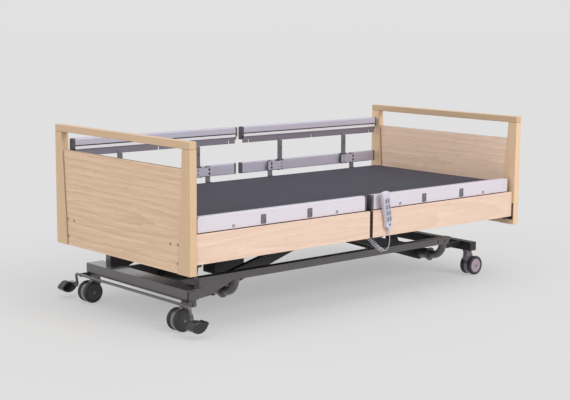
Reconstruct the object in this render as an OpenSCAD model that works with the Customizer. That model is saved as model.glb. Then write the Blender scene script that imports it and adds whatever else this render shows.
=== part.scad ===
// Adjustable hospital bed: profiling mattress deck on a lifting frame, with wooden end boards, wooden side
// panels, telescopic side rails, lockable twin-wheel casters and a hand control on a curly lead.
// +X runs to the head end, -Y is the near long side, +Z is up, and the origin is on the floor at the centre.
// Rest pose: lowest height, flat deck, near rails lowered, far rails raised.

/* [Overall] */
// Length over the two end boards
bed_l = 2150; // [2100:10:2250]
// Width over the two end boards
bed_w = 1062; // [1040:2:1100]
// Height of the end boards' top edge at the lowest position
board_top = 841; // [820:1:900]
// Height of the end boards' bottom edge at the lowest position
board_bottom = 273; // [262:1:300]

/* [End boards] */
// Thickness of the posts and of the hand rail, along the bed
board_t = 37; // [30:1:45]
// Height of the hand rail across the top of each board
hand_rail_h = 33; // [26:1:40]
// Width of a post just under the hand rail
post_top_w = 55; // [45:1:65]
// Width of a post at its foot
post_foot_w = 90; // [80:1:100]
// Clear height of the hand opening under the hand rail
hand_gap = 85; // [75:1:110]
// Depth of the dark groove between panel and post
panel_groove = 4; // [2:1:6]

/* [Side panels] */
// Lower edge of the wooden side panels
fascia_z0 = 317; // [315:1:325]
// Upper edge of the wooden side panels
fascia_z1 = 446; // [430:1:447]
// Distance from the bed's side plane to the panel's outer face
fascia_inset = 12; // [8:1:12]
// Thickness of the wooden side panels
fascia_t = 15; // [12:1:16]
// Gap between the two panels of one side
fascia_gap = 18; // [12:1:30]

/* [Side rails] */
// Length of one rail segment
rail_l = 998; // [960:2:1000]
// Gap between the two rail segments of one side
rail_gap = 32; // [20:2:40]
// Distance from the bed's side plane to the rails' outer face
rail_inset = 28.5; // [28:0.5:29]
// Height of the upper rail's profile
rail_h = 86; // [80:1:90]
// Underside of the lowered upper rail
rail_z = 432; // [432:1:434]
// Travel of the upper rail
rail_travel = 254; // [230:2:260]
// Travel of the lower rail
lower_travel = 152; // [140:2:156]
// Underside of the lowered lower rail
lower_z = 371; // [368:1:372]

/* [Mattress and deck] */
// Length of the mattress
mattress_l = 2000; // [1960:10:2010]
// Width of the mattress
mattress_w = 900; // [860:10:900]
// Thickness of the mattress
mattress_t = 99.5; // [80:0.5:120]
// Top of the deck, which the mattress lies on
deck_z = 408; // [408:1:410]
// Hinge of the backrest, from the bed's centre
back_x = 220; // [210:5:230]
// Hinge of the thigh section, from the bed's centre
thigh_x = 0; // [-5:1:5]
// Hinge between the thigh and calf sections, from the bed's centre
calf_x = -340; // [-350:5:-320]

/* [Lift] */
// Travel of the bed's height
lift_h = 380; // [300:10:380]
// Distance of each lift pivot from the bed's centre
pivot_x = 690; // [680:5:700]
// Height of the lift pivots
pivot_z = 120; // [115:1:125]
// Length of a lift arm from its pivot to its roller
arm_l = 700; // [690:1:702]
// Slope of the lift arms at the lowest position
arm_angle = 15.4; // [14:0.1:16]
// Distance of the lift arms from the bed's centre line
arm_y = 180; // [175:1:182]
// Radius of the actuator's levers
lever_r = 130; // [120:1:135]

/* [Base and casters] */
// Wheel diameter
wheel_d = 100; // [95:1:100]
// Distance of each caster's swivel axis from the centre line
caster_y = 360; // [355:1:362]
// Swivel axis of the foot casters
caster_foot_x = -969; // [-972:1:-966]
// Swivel axis of the head casters
caster_head_x = 875; // [870:1:880]
// Trail of the casters
trail = 34; // [30:1:34]
// Distance of the side tubes from the centre line
tube_y = 351; // [348:1:354]

/* [Hand control] */
// Length of the hand control's body
handset_l = 178; // [160:1:190]
// Width of the hand control at its top
handset_w = 48; // [46:1:58]
// Thickness of the hand control
handset_t = 23; // [20:0.5:23.5]
// Sideways tilt of the hanging hand control
handset_tilt = 10; // [8:0.5:12]

/* [Hidden] */
$fn = 48;

half_l = bed_l / 2;
half_w = bed_w / 2;
inner_x = half_l - board_t;
post_top = board_top - hand_rail_h;
panel_top = post_top - hand_gap;
panel_covers = [[148, 395], [94, 397], [97, 316]];
panel_inset = 6;

hinge_z = deck_z - 10;
frame_z0 = 345;
frame_z1 = 385;
frame_y = 415;
frame_member = 40;
cross_x = 345;
pole_x = 1017;
pole_y = 420;
pole_r = 16.75;
pole_z0 = 316;
pole_l = 84;
sleeve_x = 304;
sleeve_top = 498;
guide_drop = 52;
post_x = 237;

arm_max = asin(sin(arm_angle) + lift_h / arm_l);
swing = arm_max - arm_angle;
roller_r = 11;
tip_r = 14;
lever_rest = 90 - swing / 2;
lever_x = pivot_x - lever_r * cos(lever_rest);
lever_z = pivot_z + lever_r * sin(lever_rest);
sleeve_r = 32;
motor_x = -568;
motor_l = 178;

back_lever_r = 110;
back_lever_half = 35;
leg_lever_half = 17.5;
back_drive_y = 70;
leg_drive_y = -70;

key_pitch = 29;
key_first = 46;
key_t = 2.4;
key_half = 15.5;

wood = "burlywood";
post_wood = "tan";
steel = [0.33, 0.32, 0.33];
black = [0.09, 0.09, 0.1];
alu = [0.8, 0.79, 0.82];
charcoal = [0.25, 0.25, 0.28];
plastic = [0.83, 0.82, 0.86];

// ---------- shared shapes ----------

// A box from its lowest to its highest corner
module block(lo, hi) {
    translate(lo) cube(hi - lo);
}

// A cylinder along X, Y or Z from a point, with its length in the positive direction
module rod_x(p, r, l) {
    translate(p) rotate([0, 90, 0]) cylinder(r = r, h = l);
}

module rod_y(p, r, l) {
    translate(p) rotate([-90, 0, 0]) cylinder(r = r, h = l);
}

module rod_z(p, r, l) {
    translate(p) cylinder(r = r, h = l);
}

// A profile in the X-Z plane, extruded along Y from y0 to y1
module plate_xz(y0, y1) {
    translate([0, y1, 0]) rotate([90, 0, 0]) linear_extrude(y1 - y0) children();
}

// A profile in the Y-Z plane, extruded along X from x0 to x1
module plate_yz(x0, x1) {
    translate([x0, 0, 0]) rotate([90, 0, 90]) linear_extrude(x1 - x0) children();
}

// A copy on both long sides
module both_sides() {
    children();
    mirror([0, 1, 0]) children();
}

// A rectangle with rounded corners, made of squares and circles
module round_rect(lo, hi, r) {
    translate([lo[0] + r, lo[1]]) square([hi[0] - lo[0] - 2 * r, hi[1] - lo[1]]);
    translate([lo[0], lo[1] + r]) square([hi[0] - lo[0], hi[1] - lo[1] - 2 * r]);
    for (x = [lo[0] + r, hi[0] - r], y = [lo[1] + r, hi[1] - r]) translate([x, y]) circle(r);
}

// ---------- base frame ----------

module base_side_tubes() color(steel) both_sides() {
    difference() {
        plate_xz(-tube_y - 20, -tube_y + 20) polygon([[-905, 188], [712, 188], [731, 222], [-905, 222]]);
        plate_xz(-tube_y - 17, -tube_y + 17) polygon([[-904, 191], [710, 191], [726, 219], [-904, 219]]);
    }
    // gusset under the tube at the foot end
    plate_xz(-tube_y - 20, -tube_y + 20) polygon([[-905, 134], [-855, 134], [-714, 188], [-905, 188]]);
    // bolt heads near the head end
    for (x = [640, 690]) rod_y([x, -tube_y - 24, 205], 7, 4);
}

beam_top = 183;

module foot_cross_beam() color(steel) difference() {
    union() {
        block([-995, -401, 140], [-905, 401, beam_top]);
        block([-985, -380, 130], [-915, 380, 140]);
        both_sides() {
            // stays from the beam to the cross tube of the lift pivot
            plate_xz(-214, -200)
                polygon([[-906, 140], [-740, 96], [-718, 96], [-718, 148], [-785, beam_top],
                    [-906, beam_top]]);
            // end plates with the stub shafts that the brake cranks turn on
            block([caster_foot_x - 20, -407, 108], [caster_foot_x + 20, -401, 175]);
            rod_y([caster_foot_x, -420, brake_axis_z], 8, 14);
        }
    }
    block([-988, -390, 143], [-912, 390, beam_top - 4]);
    for (y = [-caster_y, caster_y]) rod_z([caster_foot_x, y, 129], 8.06, 12);
}

module head_cross_beam() color(steel) {
    difference() {
        block([853, -401, 135], [897, 401, 180]);
        block([856, -398, 138], [894, 398, 177]);
        for (y = [-caster_y, caster_y]) rod_z([caster_head_x, y, 134], 8.06, 6);
    }
    // brackets that tie the side tubes to the beam
    both_sides() plate_xz(-tube_y + 20, -tube_y + 32)
        polygon([[640, 190], [700, 190], [728, 153], [853, 153], [853, 179], [740, 179], [722, 218],
            [640, 218]]);
}

// Round cross tube that the lift arms turn on, with an elbow up to each side tube
module lift_pivot_tube(side) {
    elbow_r = 188 - pivot_z;
    x = side * pivot_x;
    rod_y([x, -262, pivot_z], 27.5, 524);
    both_sides() {
        rod_y([x, -268, pivot_z], 34, 6);
        rod_y([x, -tube_y + elbow_r, pivot_z], 20, tube_y - elbow_r - 268 + 0.01);
        translate([x, -tube_y + elbow_r, 188]) rotate([0, 90, 0]) rotate([0, 0, 270])
            rotate_extrude(angle = 90) translate([elbow_r, 0]) circle(20);
    }
}

module lift_pivot_tubes() color(steel) for (side = [-1, 1]) lift_pivot_tube(side);

// ---------- central brake ----------

brake_x = -1022;
brake_z = 125;
brake_axis_z = 121;
pin_x = -1012;
pin_z = 62;

module brake_bar() color(steel) {
    rod_y([brake_x, -455, brake_z], 6.5, 910);
    both_sides() {
        // cranks that turn on stub shafts at the beam's ends
        plate_xz(-416, -408) difference() {
            union() {
                translate([caster_foot_x, brake_axis_z]) circle(13);
                translate([brake_x, brake_z - 8]) square([caster_foot_x - brake_x, 16]);
            }
            translate([caster_foot_x, brake_axis_z]) circle(8.05);
        }
        // links down to the pins that carry the pedals
        plate_xz(-461, -450) polygon([[brake_x - 6, brake_z + 6], [brake_x + 6, brake_z + 6],
            [pin_x + 6, pin_z - 6], [pin_x - 6, pin_z - 6]]);
        rod_y([pin_x, -530, pin_z], 6, 70);
    }
}

// Outline of a rocking pedal: a rounded toe cap towards the foot end and a tread behind it
module pedal_outline() polygon(concat([[-1074.5, 46], [-1070, 57]],
    [for (a = [140:-20:60]) [-1036 + 27 * cos(a), 52 + 27 * sin(a)]], [[-1008, 72], [-990, 74], [-983, 66]],
    [for (a = [-25:-23:-140]) [-1034 + 48 * cos(a), 74 + 48 * sin(a)]]));

module brake_pedals() color(black) both_sides() difference() {
    plate_xz(-544, -494) pedal_outline();
    rod_y([pin_x, -531, pin_z], 6.05, 38);
}

// ---------- casters ----------

wheel_r = wheel_d / 2;
wheel_w = 22;
wheel_offset = 14;

module caster_fork(x, y, side, top) color(steel) {
    axle_x = x + side * trail;
    // stem, bearing cap and neck
    rod_z([x, y, top - 6], 8, 16);
    rod_z([x, y, top - 8], 24, 7);
    // central web down to the axle
    plate_xz(y - 12, y + 12) polygon([[x - side * 16, top - 8], [x + side * 22, top - 8],
        [axle_x + side * 14, wheel_r + 8], [axle_x + side * 6, wheel_r - 12],
        [axle_x - side * 8, wheel_r - 12], [x - side * 20, 84]]);
    rod_y([axle_x, y - 38, wheel_r], 6, 76);
    // round body between the wheels
    rod_y([axle_x, y - 11, wheel_r], wheel_r - 4, 22);
}

module caster_wheels(x, y, side) color(black) for (s = [-1, 1])
    translate([x + side * trail, y + s * (wheel_offset + wheel_w / 2), wheel_r]) rotate([90, 0, 0])
        rotate_extrude($fn = 64) polygon([[6.06, -8], [18, -8], [18, -11], [43, -11], [46, -10.4], [49, -8],
            [50, -5], [50, 5], [49, 8], [46, 10.4], [43, 11], [18, 11], [18, 8], [6.06, 8]]);

module caster_fork_foot_near() caster_fork(caster_foot_x, -caster_y, -1, 130);
module caster_fork_foot_far() caster_fork(caster_foot_x, caster_y, -1, 130);
module caster_fork_head_near() caster_fork(caster_head_x, -caster_y, 1, 135);
module caster_fork_head_far() caster_fork(caster_head_x, caster_y, 1, 135);
module caster_wheels_foot_near() caster_wheels(caster_foot_x, -caster_y, -1);
module caster_wheels_foot_far() caster_wheels(caster_foot_x, caster_y, -1);
module caster_wheels_head_near() caster_wheels(caster_head_x, -caster_y, 1);
module caster_wheels_head_far() caster_wheels(caster_head_x, caster_y, 1);

// ---------- lift ----------

// One pair of arms for the head end; the foot pair is its mirror image
module lift_arm_pair() color(black) translate([pivot_x, 0, pivot_z]) {
    lever_tip = [-lever_r * cos(lever_rest), lever_r * sin(lever_rest)];
    difference() {
        union() {
            both_sides() rotate([0, arm_angle, 0]) plate_xz(-arm_y - 13, -arm_y + 13) {
                polygon([[0, -38], [-arm_l, -tip_r], [-arm_l, tip_r], [0, 38]]);
                circle(38);
                translate([-arm_l, 0]) circle(tip_r);
            }
            // sleeve that joins the two arms round the cross tube, with the lever plates
            rod_y([0, -arm_y, 0], sleeve_r, 2 * arm_y);
            both_sides() plate_xz(-22, -14) {
                polygon([lever_tip + [-12, 0], lever_tip + [12, 0], [30, 6], [-30, -6]]);
                translate(lever_tip) circle(12);
            }
        }
        rod_y([0, -arm_y - 20, 0], 27.58, 2 * arm_y + 40);
    }
    // rollers and their pins, which run in the curved tracks
    both_sides() rotate([0, arm_angle, 0]) {
        rod_y([-arm_l, -arm_y - 30, 0], 6, 24);
        rod_y([-arm_l, -arm_y - 27, 0], roller_r, 9);
    }
    // pin that the actuator holds
    rod_y([lever_tip[0], -22, lever_tip[1]], 7, 44);
}

module head_lift_arms() lift_arm_pair();
module foot_lift_arms() mirror([1, 0, 0]) lift_arm_pair();

module lift_motor() color(black) difference() {
    union() {
        rod_x([-lever_x - 14, 0, lever_z], 11, 94);
        block([motor_x, -45, 142], [motor_x + motor_l, 45, lever_z + 40]);
        rod_x([motor_x + motor_l - 1, 0, lever_z], 22, 420);
    }
    rod_y([-lever_x, -20, lever_z], 7.06, 40);
    rod_x([motor_x + motor_l + 10, 0, lever_z], 12.2, 410);
}

module lift_rod() color("silver") difference() {
    union() {
        rod_x([motor_x + motor_l + 190, 0, lever_z], 12, lever_x - motor_x - motor_l - 200);
        rod_y([lever_x, -11, lever_z], 20, 22);
    }
    rod_y([lever_x, -12, lever_z], 8.4, 24);
}

// ---------- upper frame ----------

// Height of an arm's roller relative to the upper frame, as a share s of the whole lift goes by
function track_x(s) = -pivot_x + arm_l * cos(arm_angle + s * swing);
function track_z(s) = pivot_z + arm_l * sin(arm_angle + s * swing) - s * lift_h;

// Point on one edge of the track, at a distance from the roller's path square to it
function track_edge(s, gap) = let (a = arm_angle + s * swing, w = swing * PI / 180,
    d = [-arm_l * sin(a) * w, arm_l * cos(a) * w - lift_h])
    [track_x(s), track_z(s)] + gap * [-d[1], d[0]] / norm(d);

// Plate with the curved tracks of the foot and head arms' rollers
module track_plate() {
    gap = roller_r + 0.7;
    steps = [for (s = [-0.02:0.04:1.021]) s];
    plate_xz(-arm_y - 28, -arm_y - 20) difference() {
        polygon([[-cross_x - 20, frame_z1], [-cross_x - 20, 285], [-cross_x + 10, 275], [cross_x - 10, 275],
            [cross_x + 20, 285], [cross_x + 20, frame_z1]]);
        for (side = [0, 1]) mirror([side, 0]) {
            polygon(concat([for (s = steps) track_edge(s, gap)],
                [for (i = [len(steps) - 1:-1:0]) track_edge(steps[i], -gap)]));
            for (s = [steps[0], steps[len(steps) - 1]]) translate([track_x(s), track_z(s)]) circle(gap);
        }
    }
}

// Guide channel of a lower rail, open towards the rail
module rail_sleeve(x) {
    y = -half_w + rail_inset;
    for (wall = [-15, 11]) {
        block([x + wall, y + 25.5, 330], [x + wall + 4, y + 42.3, 430]);
        block([x + wall, y + rail_t + 1, 430], [x + wall + 4, y + 42.3, sleeve_top]);
    }
    block([x - 15, y + 39.8, 330], [x + 15, y + 42.3, sleeve_top]);
    block([x - 15, y + 42, 350], [x + 15, -frame_y - 20, 376]);
}

// A pair of lugs with a pin at one hinge line of the deck
module hinge_lugs(x) {
    plate_xz(-434, -427) {
        translate([x, hinge_z]) circle(10);
        translate([x - 10, frame_z1 - 1]) square([20, hinge_z - frame_z1 + 1]);
    }
    rod_y([x, -434, hinge_z], 6, 26);
}

// Rectangular tubes of the upper frame: two along the bed and four across, drawn thinner to give their hollow
module frame_tubes(wall) {
    both_sides() block([-1034 - wall, -frame_y - 20 + wall, frame_z0 + wall],
        [1034 + wall, -frame_y + 20 - wall, frame_z1 - wall]);
    for (x = [-1034, -cross_x - 20, cross_x - 20, 1000])
        block([x + wall, -frame_y, frame_z0 + wall],
            [x - wall + (abs(x) > 900 ? 34 : frame_member), frame_y, frame_z1 - wall]);
}

module upper_frame() color(black) difference() {
    union() {
        difference() {
            frame_tubes(0);
            frame_tubes(3);
        }
        both_sides() {
            track_plate();
            for (c = [-1, 1], d = [-sleeve_x, sleeve_x]) rail_sleeve(c * (rail_l + rail_gap) / 2 + d);
            hinge_lugs(back_x);
            hinge_lugs(thigh_x);
            for (side = [-1, 1]) {
                // end plates bolted to the posts of the end boards
                x = side * inner_x;
                block([min(x, x - side * 4), -525, 300], [max(x, x - side * 4), -445, 386]);
                block([min(x, x - side * 34), -468, frame_z0], [max(x, x - side * 34), -frame_y, frame_z1]);
            }
            rod_z([pole_x, -pole_y, pole_z0], 21, pole_l);
        }
        // carriers of the two deck drives
        for (y = [back_drive_y, leg_drive_y])
            block([-cross_x + 18, y - 8, 340], [cross_x - 18, y + 8, frame_z1 - 20]);
    }
    for (y = [-pole_y, pole_y]) rod_z([pole_x, y, pole_z0 - 1], pole_r, pole_l + 2);
}

// ---------- deck ----------

slat_t = 5;

// One deck section from x0 to x1, with slats between two side bars
module deck_section(x0, x1, slats) {
    both_sides() block([x0, -424, deck_z - 20], [x1, -400, deck_z]);
    for (x = [x0 + 6, x1 - 26]) block([x, -401, deck_z - 20], [x + 20, 401, deck_z]);
    pitch = (x1 - x0 - 20) / (slats + 1);
    for (i = [1:slats]) translate([x0 + 10 + i * pitch, 0, 0])
        block([-22, -401, deck_z - slat_t], [22, 401, deck_z]);
}

// Rounded, bored end of a section's side bars, on a hinge line
module deck_eyes(x) both_sides() rod_y([x, -424, hinge_z], 10, 24);
module deck_eye_bores(x) for (y = [-425, 405]) rod_y([x, y, hinge_z], 6.06, 20);

module seat_deck() color(steel) {
    deck_section(thigh_x + 14, back_x - 14, 2);
    both_sides() block([thigh_x + 14, -424, frame_z1], [back_x - 14, -400, deck_z - 20]);
}

// Lever under a deck section, with the pin that its drive pushes on
module deck_lever(hinge_x, root_x, tip_angle, y, side) {
    tip = [hinge_x - side * back_lever_r * sin(tip_angle), hinge_z - back_lever_r * cos(tip_angle)];
    for (s = [-1, 1]) plate_xz(y + s * 20 - 4, y + s * 20 + 4) {
        polygon([[root_x, deck_z - 20], [root_x + side * 32, deck_z - 20], [tip[0] + side * 12, tip[1] - 4],
            [tip[0] - side * 12, tip[1] + 2]]);
        translate(tip) circle(12);
    }
    rod_y([tip[0], y - 24, tip[1]], 7, 48);
}

module back_deck() color(steel) difference() {
    union() {
        deck_section(back_x, 985, 7);
        deck_eyes(back_x);
        deck_lever(back_x, back_x + 6, back_lever_half, back_drive_y, 1);
    }
    deck_eye_bores(back_x);
}

module thigh_deck() color(steel) {
    difference() {
        union() {
            deck_section(calf_x + 14, thigh_x, 3);
            deck_eyes(thigh_x);
            deck_lever(thigh_x, thigh_x - 6, leg_lever_half, leg_drive_y, -1);
        }
        deck_eye_bores(thigh_x);
    }
    // knee hinge ears with their pins
    both_sides() {
        plate_xz(-433, -425) {
            translate([calf_x, hinge_z]) circle(10);
            translate([calf_x, hinge_z - 10]) square([60, 20]);
        }
        rod_y([calf_x, -433, hinge_z], 6, 24);
        block([calf_x + 14, -433, hinge_z - 10], [calf_x + 60, -424, deck_z]);
    }
}

module calf_deck() color(steel) difference() {
    union() {
        deck_section(-985, calf_x, 5);
        deck_eyes(calf_x);
    }
    deck_eye_bores(calf_x);
}

// Slotted push plate on a deck drive's rod; the slot lets the lever's pin rise and fall as it swings
module push_rod(y, tip_x, side, half_angle, slot) {
    z = rod_z0(half_angle);
    difference() {
        union() {
            rod_x([side > 0 ? tip_x - 385 : tip_x + 10, y, z], 10, 375);
            block([tip_x - 16, y - 11, z - slot - 12], [tip_x + 16, y + 11, z + slot + 12]);
        }
        block([tip_x - 9, y - 12, z - slot], [tip_x + 9, y + 12, z + slot]);
    }
}

// Height of a drive's axis: the middle of its pin's travel
function rod_z0(half_angle) = hinge_z - back_lever_r * (1 + cos(half_angle)) / 2;

back_slot = 18;
leg_slot = 11;
back_tip_x = back_x - back_lever_r * sin(back_lever_half);
leg_tip_x = thigh_x + back_lever_r * sin(leg_lever_half);

module back_rod() color("silver") push_rod(back_drive_y, back_tip_x, 1, back_lever_half, back_slot);
module leg_rod() color("silver") push_rod(leg_drive_y, leg_tip_x, -1, leg_lever_half, leg_slot);

module drive(y, x0, x1, z) difference() {
    union() {
        block([x0, y - 34, z - 30], [x1, y + 34, 340]);
        block([x0 + 20, y - 26, z - 38], [x1 - 60, y + 26, z - 29]);
    }
    rod_x([x0 - 1, y, z], 10.2, x1 - x0 + 2);
}

module back_motor() color(black) drive(back_drive_y, -240, -20, rod_z0(back_lever_half));
module leg_motor() color(black) drive(leg_drive_y, 110, 320, rod_z0(leg_lever_half));

// ---------- mattress ----------

soft_z0 = deck_z + 0.5;
soft_z1 = deck_z + mattress_t;
back_cut = 35.5;
thigh_cut = 18;

// Distance of a slanted cut from its hinge line at height z
function cut(angle, z) = (z - hinge_z) * tan(angle);

module mattress_piece(bottom0, top0, bottom1, top1) color(charcoal)
    plate_xz(-mattress_w / 2, mattress_w / 2)
        polygon([[bottom0, soft_z0], [bottom1, soft_z0], [top1, soft_z1], [top0, soft_z1]]);

module mattress_back() mattress_piece(back_x + cut(back_cut, soft_z0), back_x + cut(back_cut, soft_z1),
    mattress_l / 2, mattress_l / 2);
module mattress_seat() mattress_piece(thigh_x + cut(thigh_cut, soft_z0), thigh_x + cut(thigh_cut, soft_z1),
    back_x - cut(back_cut, soft_z0), back_x - cut(back_cut, soft_z1));
module mattress_thigh() mattress_piece(calf_x + 0.5, calf_x + 0.5,
    thigh_x - cut(thigh_cut, soft_z0), thigh_x - cut(thigh_cut, soft_z1));
module mattress_calf() mattress_piece(-mattress_l / 2, -mattress_l / 2, calf_x - 0.5, calf_x - 0.5);

// ---------- end boards ----------

module board_posts(side) color(post_wood)
    translate([side > 0 ? inner_x : -half_l, 0, 0]) both_sides() plate_yz(0, board_t)
        polygon([[-half_w, board_bottom], [-half_w + post_foot_w, board_bottom],
            [-half_w + post_top_w, post_top], [-half_w, post_top]]);

module board_hand_rail(side) color(post_wood) translate([side > 0 ? inner_x : -half_l, 0, 0])
    block([0, -half_w, post_top], [board_t, half_w, board_top]);

// Distance from the centre line to the post's inner edge at height z
function post_edge(z) = half_w - post_foot_w
    + (post_foot_w - post_top_w) * (z - board_bottom) / (post_top - board_bottom);

module panel_outline(gap) polygon([[-post_edge(board_bottom) + gap, board_bottom],
    [post_edge(board_bottom) - gap, board_bottom], [post_edge(panel_top) - gap, panel_top],
    [-post_edge(panel_top) + gap, panel_top]]);

module board_panel(side) color(wood) mirror([side > 0 ? 0 : 1, 0, 0]) {
    plate_yz(half_l - 28, half_l - panel_inset) panel_outline(panel_groove);
    plate_yz(half_l - 21, half_l - 13) panel_outline(0);
}

module foot_posts() board_posts(-1);
module foot_hand_rail() board_hand_rail(-1);
module foot_panel() board_panel(-1);
module head_posts() board_posts(1);
module head_hand_rail() board_hand_rail(1);
module head_panel() board_panel(1);

// Bolt covers on the boards, and the steel brackets that hold the side panels
module board_fixings() {
    color("gray") both_sides() {
        for (p = panel_covers, x = [panel_inset - half_l - 1, half_l - panel_inset])
            rod_x([x, -half_w + p[0], p[1]], 6, 1);
    }
    back_y = -half_w + fascia_inset + fascia_t;
    color(black) both_sides() for (x = [-inner_x + 4, inner_x - 39]) {
        block([x, back_y, 303], [x + 35, back_y + 4, frame_z0]);
        block([x, back_y, frame_z0 - 5], [x + 35, -445, frame_z0]);
    }
}

// ---------- side panels ----------

module side_panels() color(wood) for (side = [-1, 1]) {
    far = side * (inner_x - 4);
    near = side * fascia_gap / 2;
    block([min(near, far), -half_w + fascia_inset, fascia_z0],
        [max(near, far), -half_w + fascia_inset + fascia_t, fascia_z1]);
}

module side_panels_near() side_panels();
module side_panels_far() mirror([0, 1, 0]) side_panels();

// ---------- side rails ----------
// A rail's profile has t inward from the bed's side and h upward from the rail's underside.

rail_t = 33.5;
skin = 2.5;
cap_l = 12;
lip_h = 17.5;

// Places a near, lowered rail segment: end -1 is the foot end, far 1 is the far side and raised
module place_rail(end, far, travel) translate([end * (rail_l + rail_gap) / 2, 0, far > 0 ? travel : 0])
    mirror([0, far > 0 ? 1 : 0, 0]) translate([0, -half_w + rail_inset, 0]) children();

module upper_profile() polygon([[skin, lip_h], [skin, 84], [6, rail_h], [27.5, rail_h], [31.5, 84],
    [rail_t, 80], [rail_t, 54], [29.5, 52.5], [29.5, 49.5], [32, 48], [32, 34], [27, 31], [27, 0], [19, 0], [19, lip_h]]);

module upper_rail(end, far) color(alu) place_rail(end, far, rail_travel) translate([0, 0, rail_z]) {
    half = rail_l / 2 - cap_l;
    difference() {
        plate_yz(-half, half) difference() {
            upper_profile();
            polygon([[5, 20], [5, 80], [8, 83.5], [26, 83.5], [31, 78], [31, 56], [27, 53], [27, 36],
                [24, 32], [24, 20]]);
        }
        // slots through the lower flange
        for (x = [-448, 0, 448]) block([x - 5, 18, -1], [x + 5, 28, 17]);
    }
    // outer skin, which runs past the end caps
    plate_xz(0, skin) {
        translate([-rail_l / 2, lip_h]) square([rail_l, rail_h - lip_h - 16]);
        translate([-rail_l / 2 + 12, lip_h]) square([rail_l - 24, rail_h - lip_h - 4]);
        for (x = [-1, 1]) translate([x * (rail_l / 2 - 12), rail_h - 16]) circle(12);
    }
}

// Posts, end caps and clips that travel with an upper rail
module rail_posts(end, far) color(steel) place_rail(end, far, rail_travel) {
    for (s = [-1, 1]) {
        block([s * post_x - 13, 27, fascia_z0 + 1], [s * post_x + 13, 39, rail_z + 19.5]);
        rod_y([s * post_x, 39, 379], 6, 3.5);
        translate([s * (rail_l / 2 - cap_l / 2), 0, rail_z]) plate_yz(-cap_l / 2, cap_l / 2)
            polygon([[skin, lip_h], [skin, 80], [7, rail_h], [27.5, rail_h], [31.5, 84], [rail_t, 80],
                [rail_t, 38], [24, 33], [20, lip_h]]);
        plate_xz(-2.5, 0) translate([s * 137, 0])
            round_rect([-15, rail_z + 21], [15, rail_z + 64], 4);
        plate_xz(-2, 0) translate([s * 305, 0]) round_rect([-7, rail_z + 22], [7, rail_z + 36], 3);
    }
}

lower_t = 22;
lower_h = 58;

module lower_rail(end, far) color(alu) place_rail(end, far, lower_travel) translate([0, 0, lower_z]) {
    plate_yz(-rail_l / 2 + 4, rail_l / 2 - 4) difference() {
        round_rect([0, 0], [lower_t, lower_h], 5);
        round_rect([2.5, 2.5], [lower_t - 2.5, lower_h - 2.5], 3);
    }
    for (s = [-1, 1]) {
        // end cap
        plate_yz(s > 0 ? rail_l / 2 - 4 : -rail_l / 2, s > 0 ? rail_l / 2 : -rail_l / 2 + 4)
            round_rect([0, 0], [lower_t, lower_h], 5);
        // guide bar, the collar that an upper rail's post runs in, and the bolted plate over both
        block([s * sleeve_x - 10, lower_t, -guide_drop], [s * sleeve_x + 10, 39, 58]);
        difference() {
            block([s * post_x - 18, lower_t, 2], [s * post_x + 18, 43, 60]);
            block([s * post_x - 13.5, 26.5, 1], [s * post_x + 13.5, 39.5, 61]);
            block([s * post_x - 7, 39, 1], [s * post_x + 7, 44, 61]);
        }
        plate_xz(43, 45) difference() {
            translate([s * 270, 0]) round_rect([-56, 8], [56, 52], 4);
            translate([s * sleeve_x, 30]) round_rect([-8, -12], [8, 12], 7);
        }
        for (h = [20, 40]) rod_y([s * 232, 45, h], 3.5, 2.5);
    }
}

module upper_rail_foot_near() upper_rail(-1, 0);
module upper_rail_head_near() upper_rail(1, 0);
module upper_rail_foot_far() upper_rail(-1, 1);
module upper_rail_head_far() upper_rail(1, 1);
module lower_rail_foot_near() lower_rail(-1, 0);
module lower_rail_head_near() lower_rail(1, 0);
module lower_rail_foot_far() lower_rail(-1, 1);
module lower_rail_head_far() lower_rail(1, 1);
module rail_posts_foot_near() rail_posts(-1, 0);
module rail_posts_head_near() rail_posts(1, 0);
module rail_posts_foot_far() rail_posts(-1, 1);
module rail_posts_head_far() rail_posts(1, 1);

// ---------- hand control ----------
// In its own frame the hand control hangs down from its top centre, with its face towards -Y.

handset_top = [72, -half_w, 534];
boot_l = 34;

module place_handset() translate(handset_top) rotate([0, -handset_tilt, 0]) children();

module handset() color(plastic) place_handset() {
    half = handset_w / 2;
    difference() {
        plate_xz(-handset_t / 2, handset_t / 2) {
            translate([-half + 8, -handset_l]) square([handset_w - 16, handset_l]);
            translate([0, -14]) square([handset_w, 12], center = true);
            polygon([[-half, -8], [half, -8], [half - 5, -handset_l + 14], [-half + 5, -handset_l + 14]]);
            for (s = [-1, 1]) {
                translate([s * (half - 8), -8]) circle(8);
                translate([s * (half - 17), -handset_l + 14]) circle(12);
            }
            translate([0, -handset_l + 14]) square([handset_w - 34, 28], center = true);
        }
        // recess that the rocker keys sit in
        for (i = [0:3]) block([-key_half - 1, -handset_t / 2 - 1, -key_first - i * key_pitch - 10.4],
            [key_half + 1, -handset_t / 2 + key_t, -key_first - i * key_pitch + 10.4]);
    }
    // hook lip at the top, and the strain relief at the bottom
    block([-16, handset_t / 2, -34], [16, handset_t / 2 + 10, -29]);
    block([-16, handset_t / 2 + 7, -42], [16, handset_t / 2 + 10, -29]);
    translate([0, 0, -handset_l - boot_l]) cylinder(r1 = 3.6, r2 = 8, h = boot_l + 2);
}

// A rocker key that tips left or right about the hand control's long axis
module key(i) color("slategray") place_handset()
    translate([0, 0, -key_first - i * key_pitch]) {
        plate_xz(-handset_t / 2 - 1.6, -handset_t / 2 + 0.6)
            round_rect([-key_half, -9.6], [key_half, 9.6], 4);
        rod_z([0, -handset_t / 2 + 0.9, -9.6], 1.3, 19.2);
    }

module key_back() key(0);
module key_thigh() key(1);
module key_height() key(2);
module key_auto() key(3);

module control_box() color(black) {
    block([-30, -430, 290], [170, -345, frame_z0]);
    // socket collar for the curly lead
    rod_y([10, -440, 322], 11, 10);
}

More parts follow.
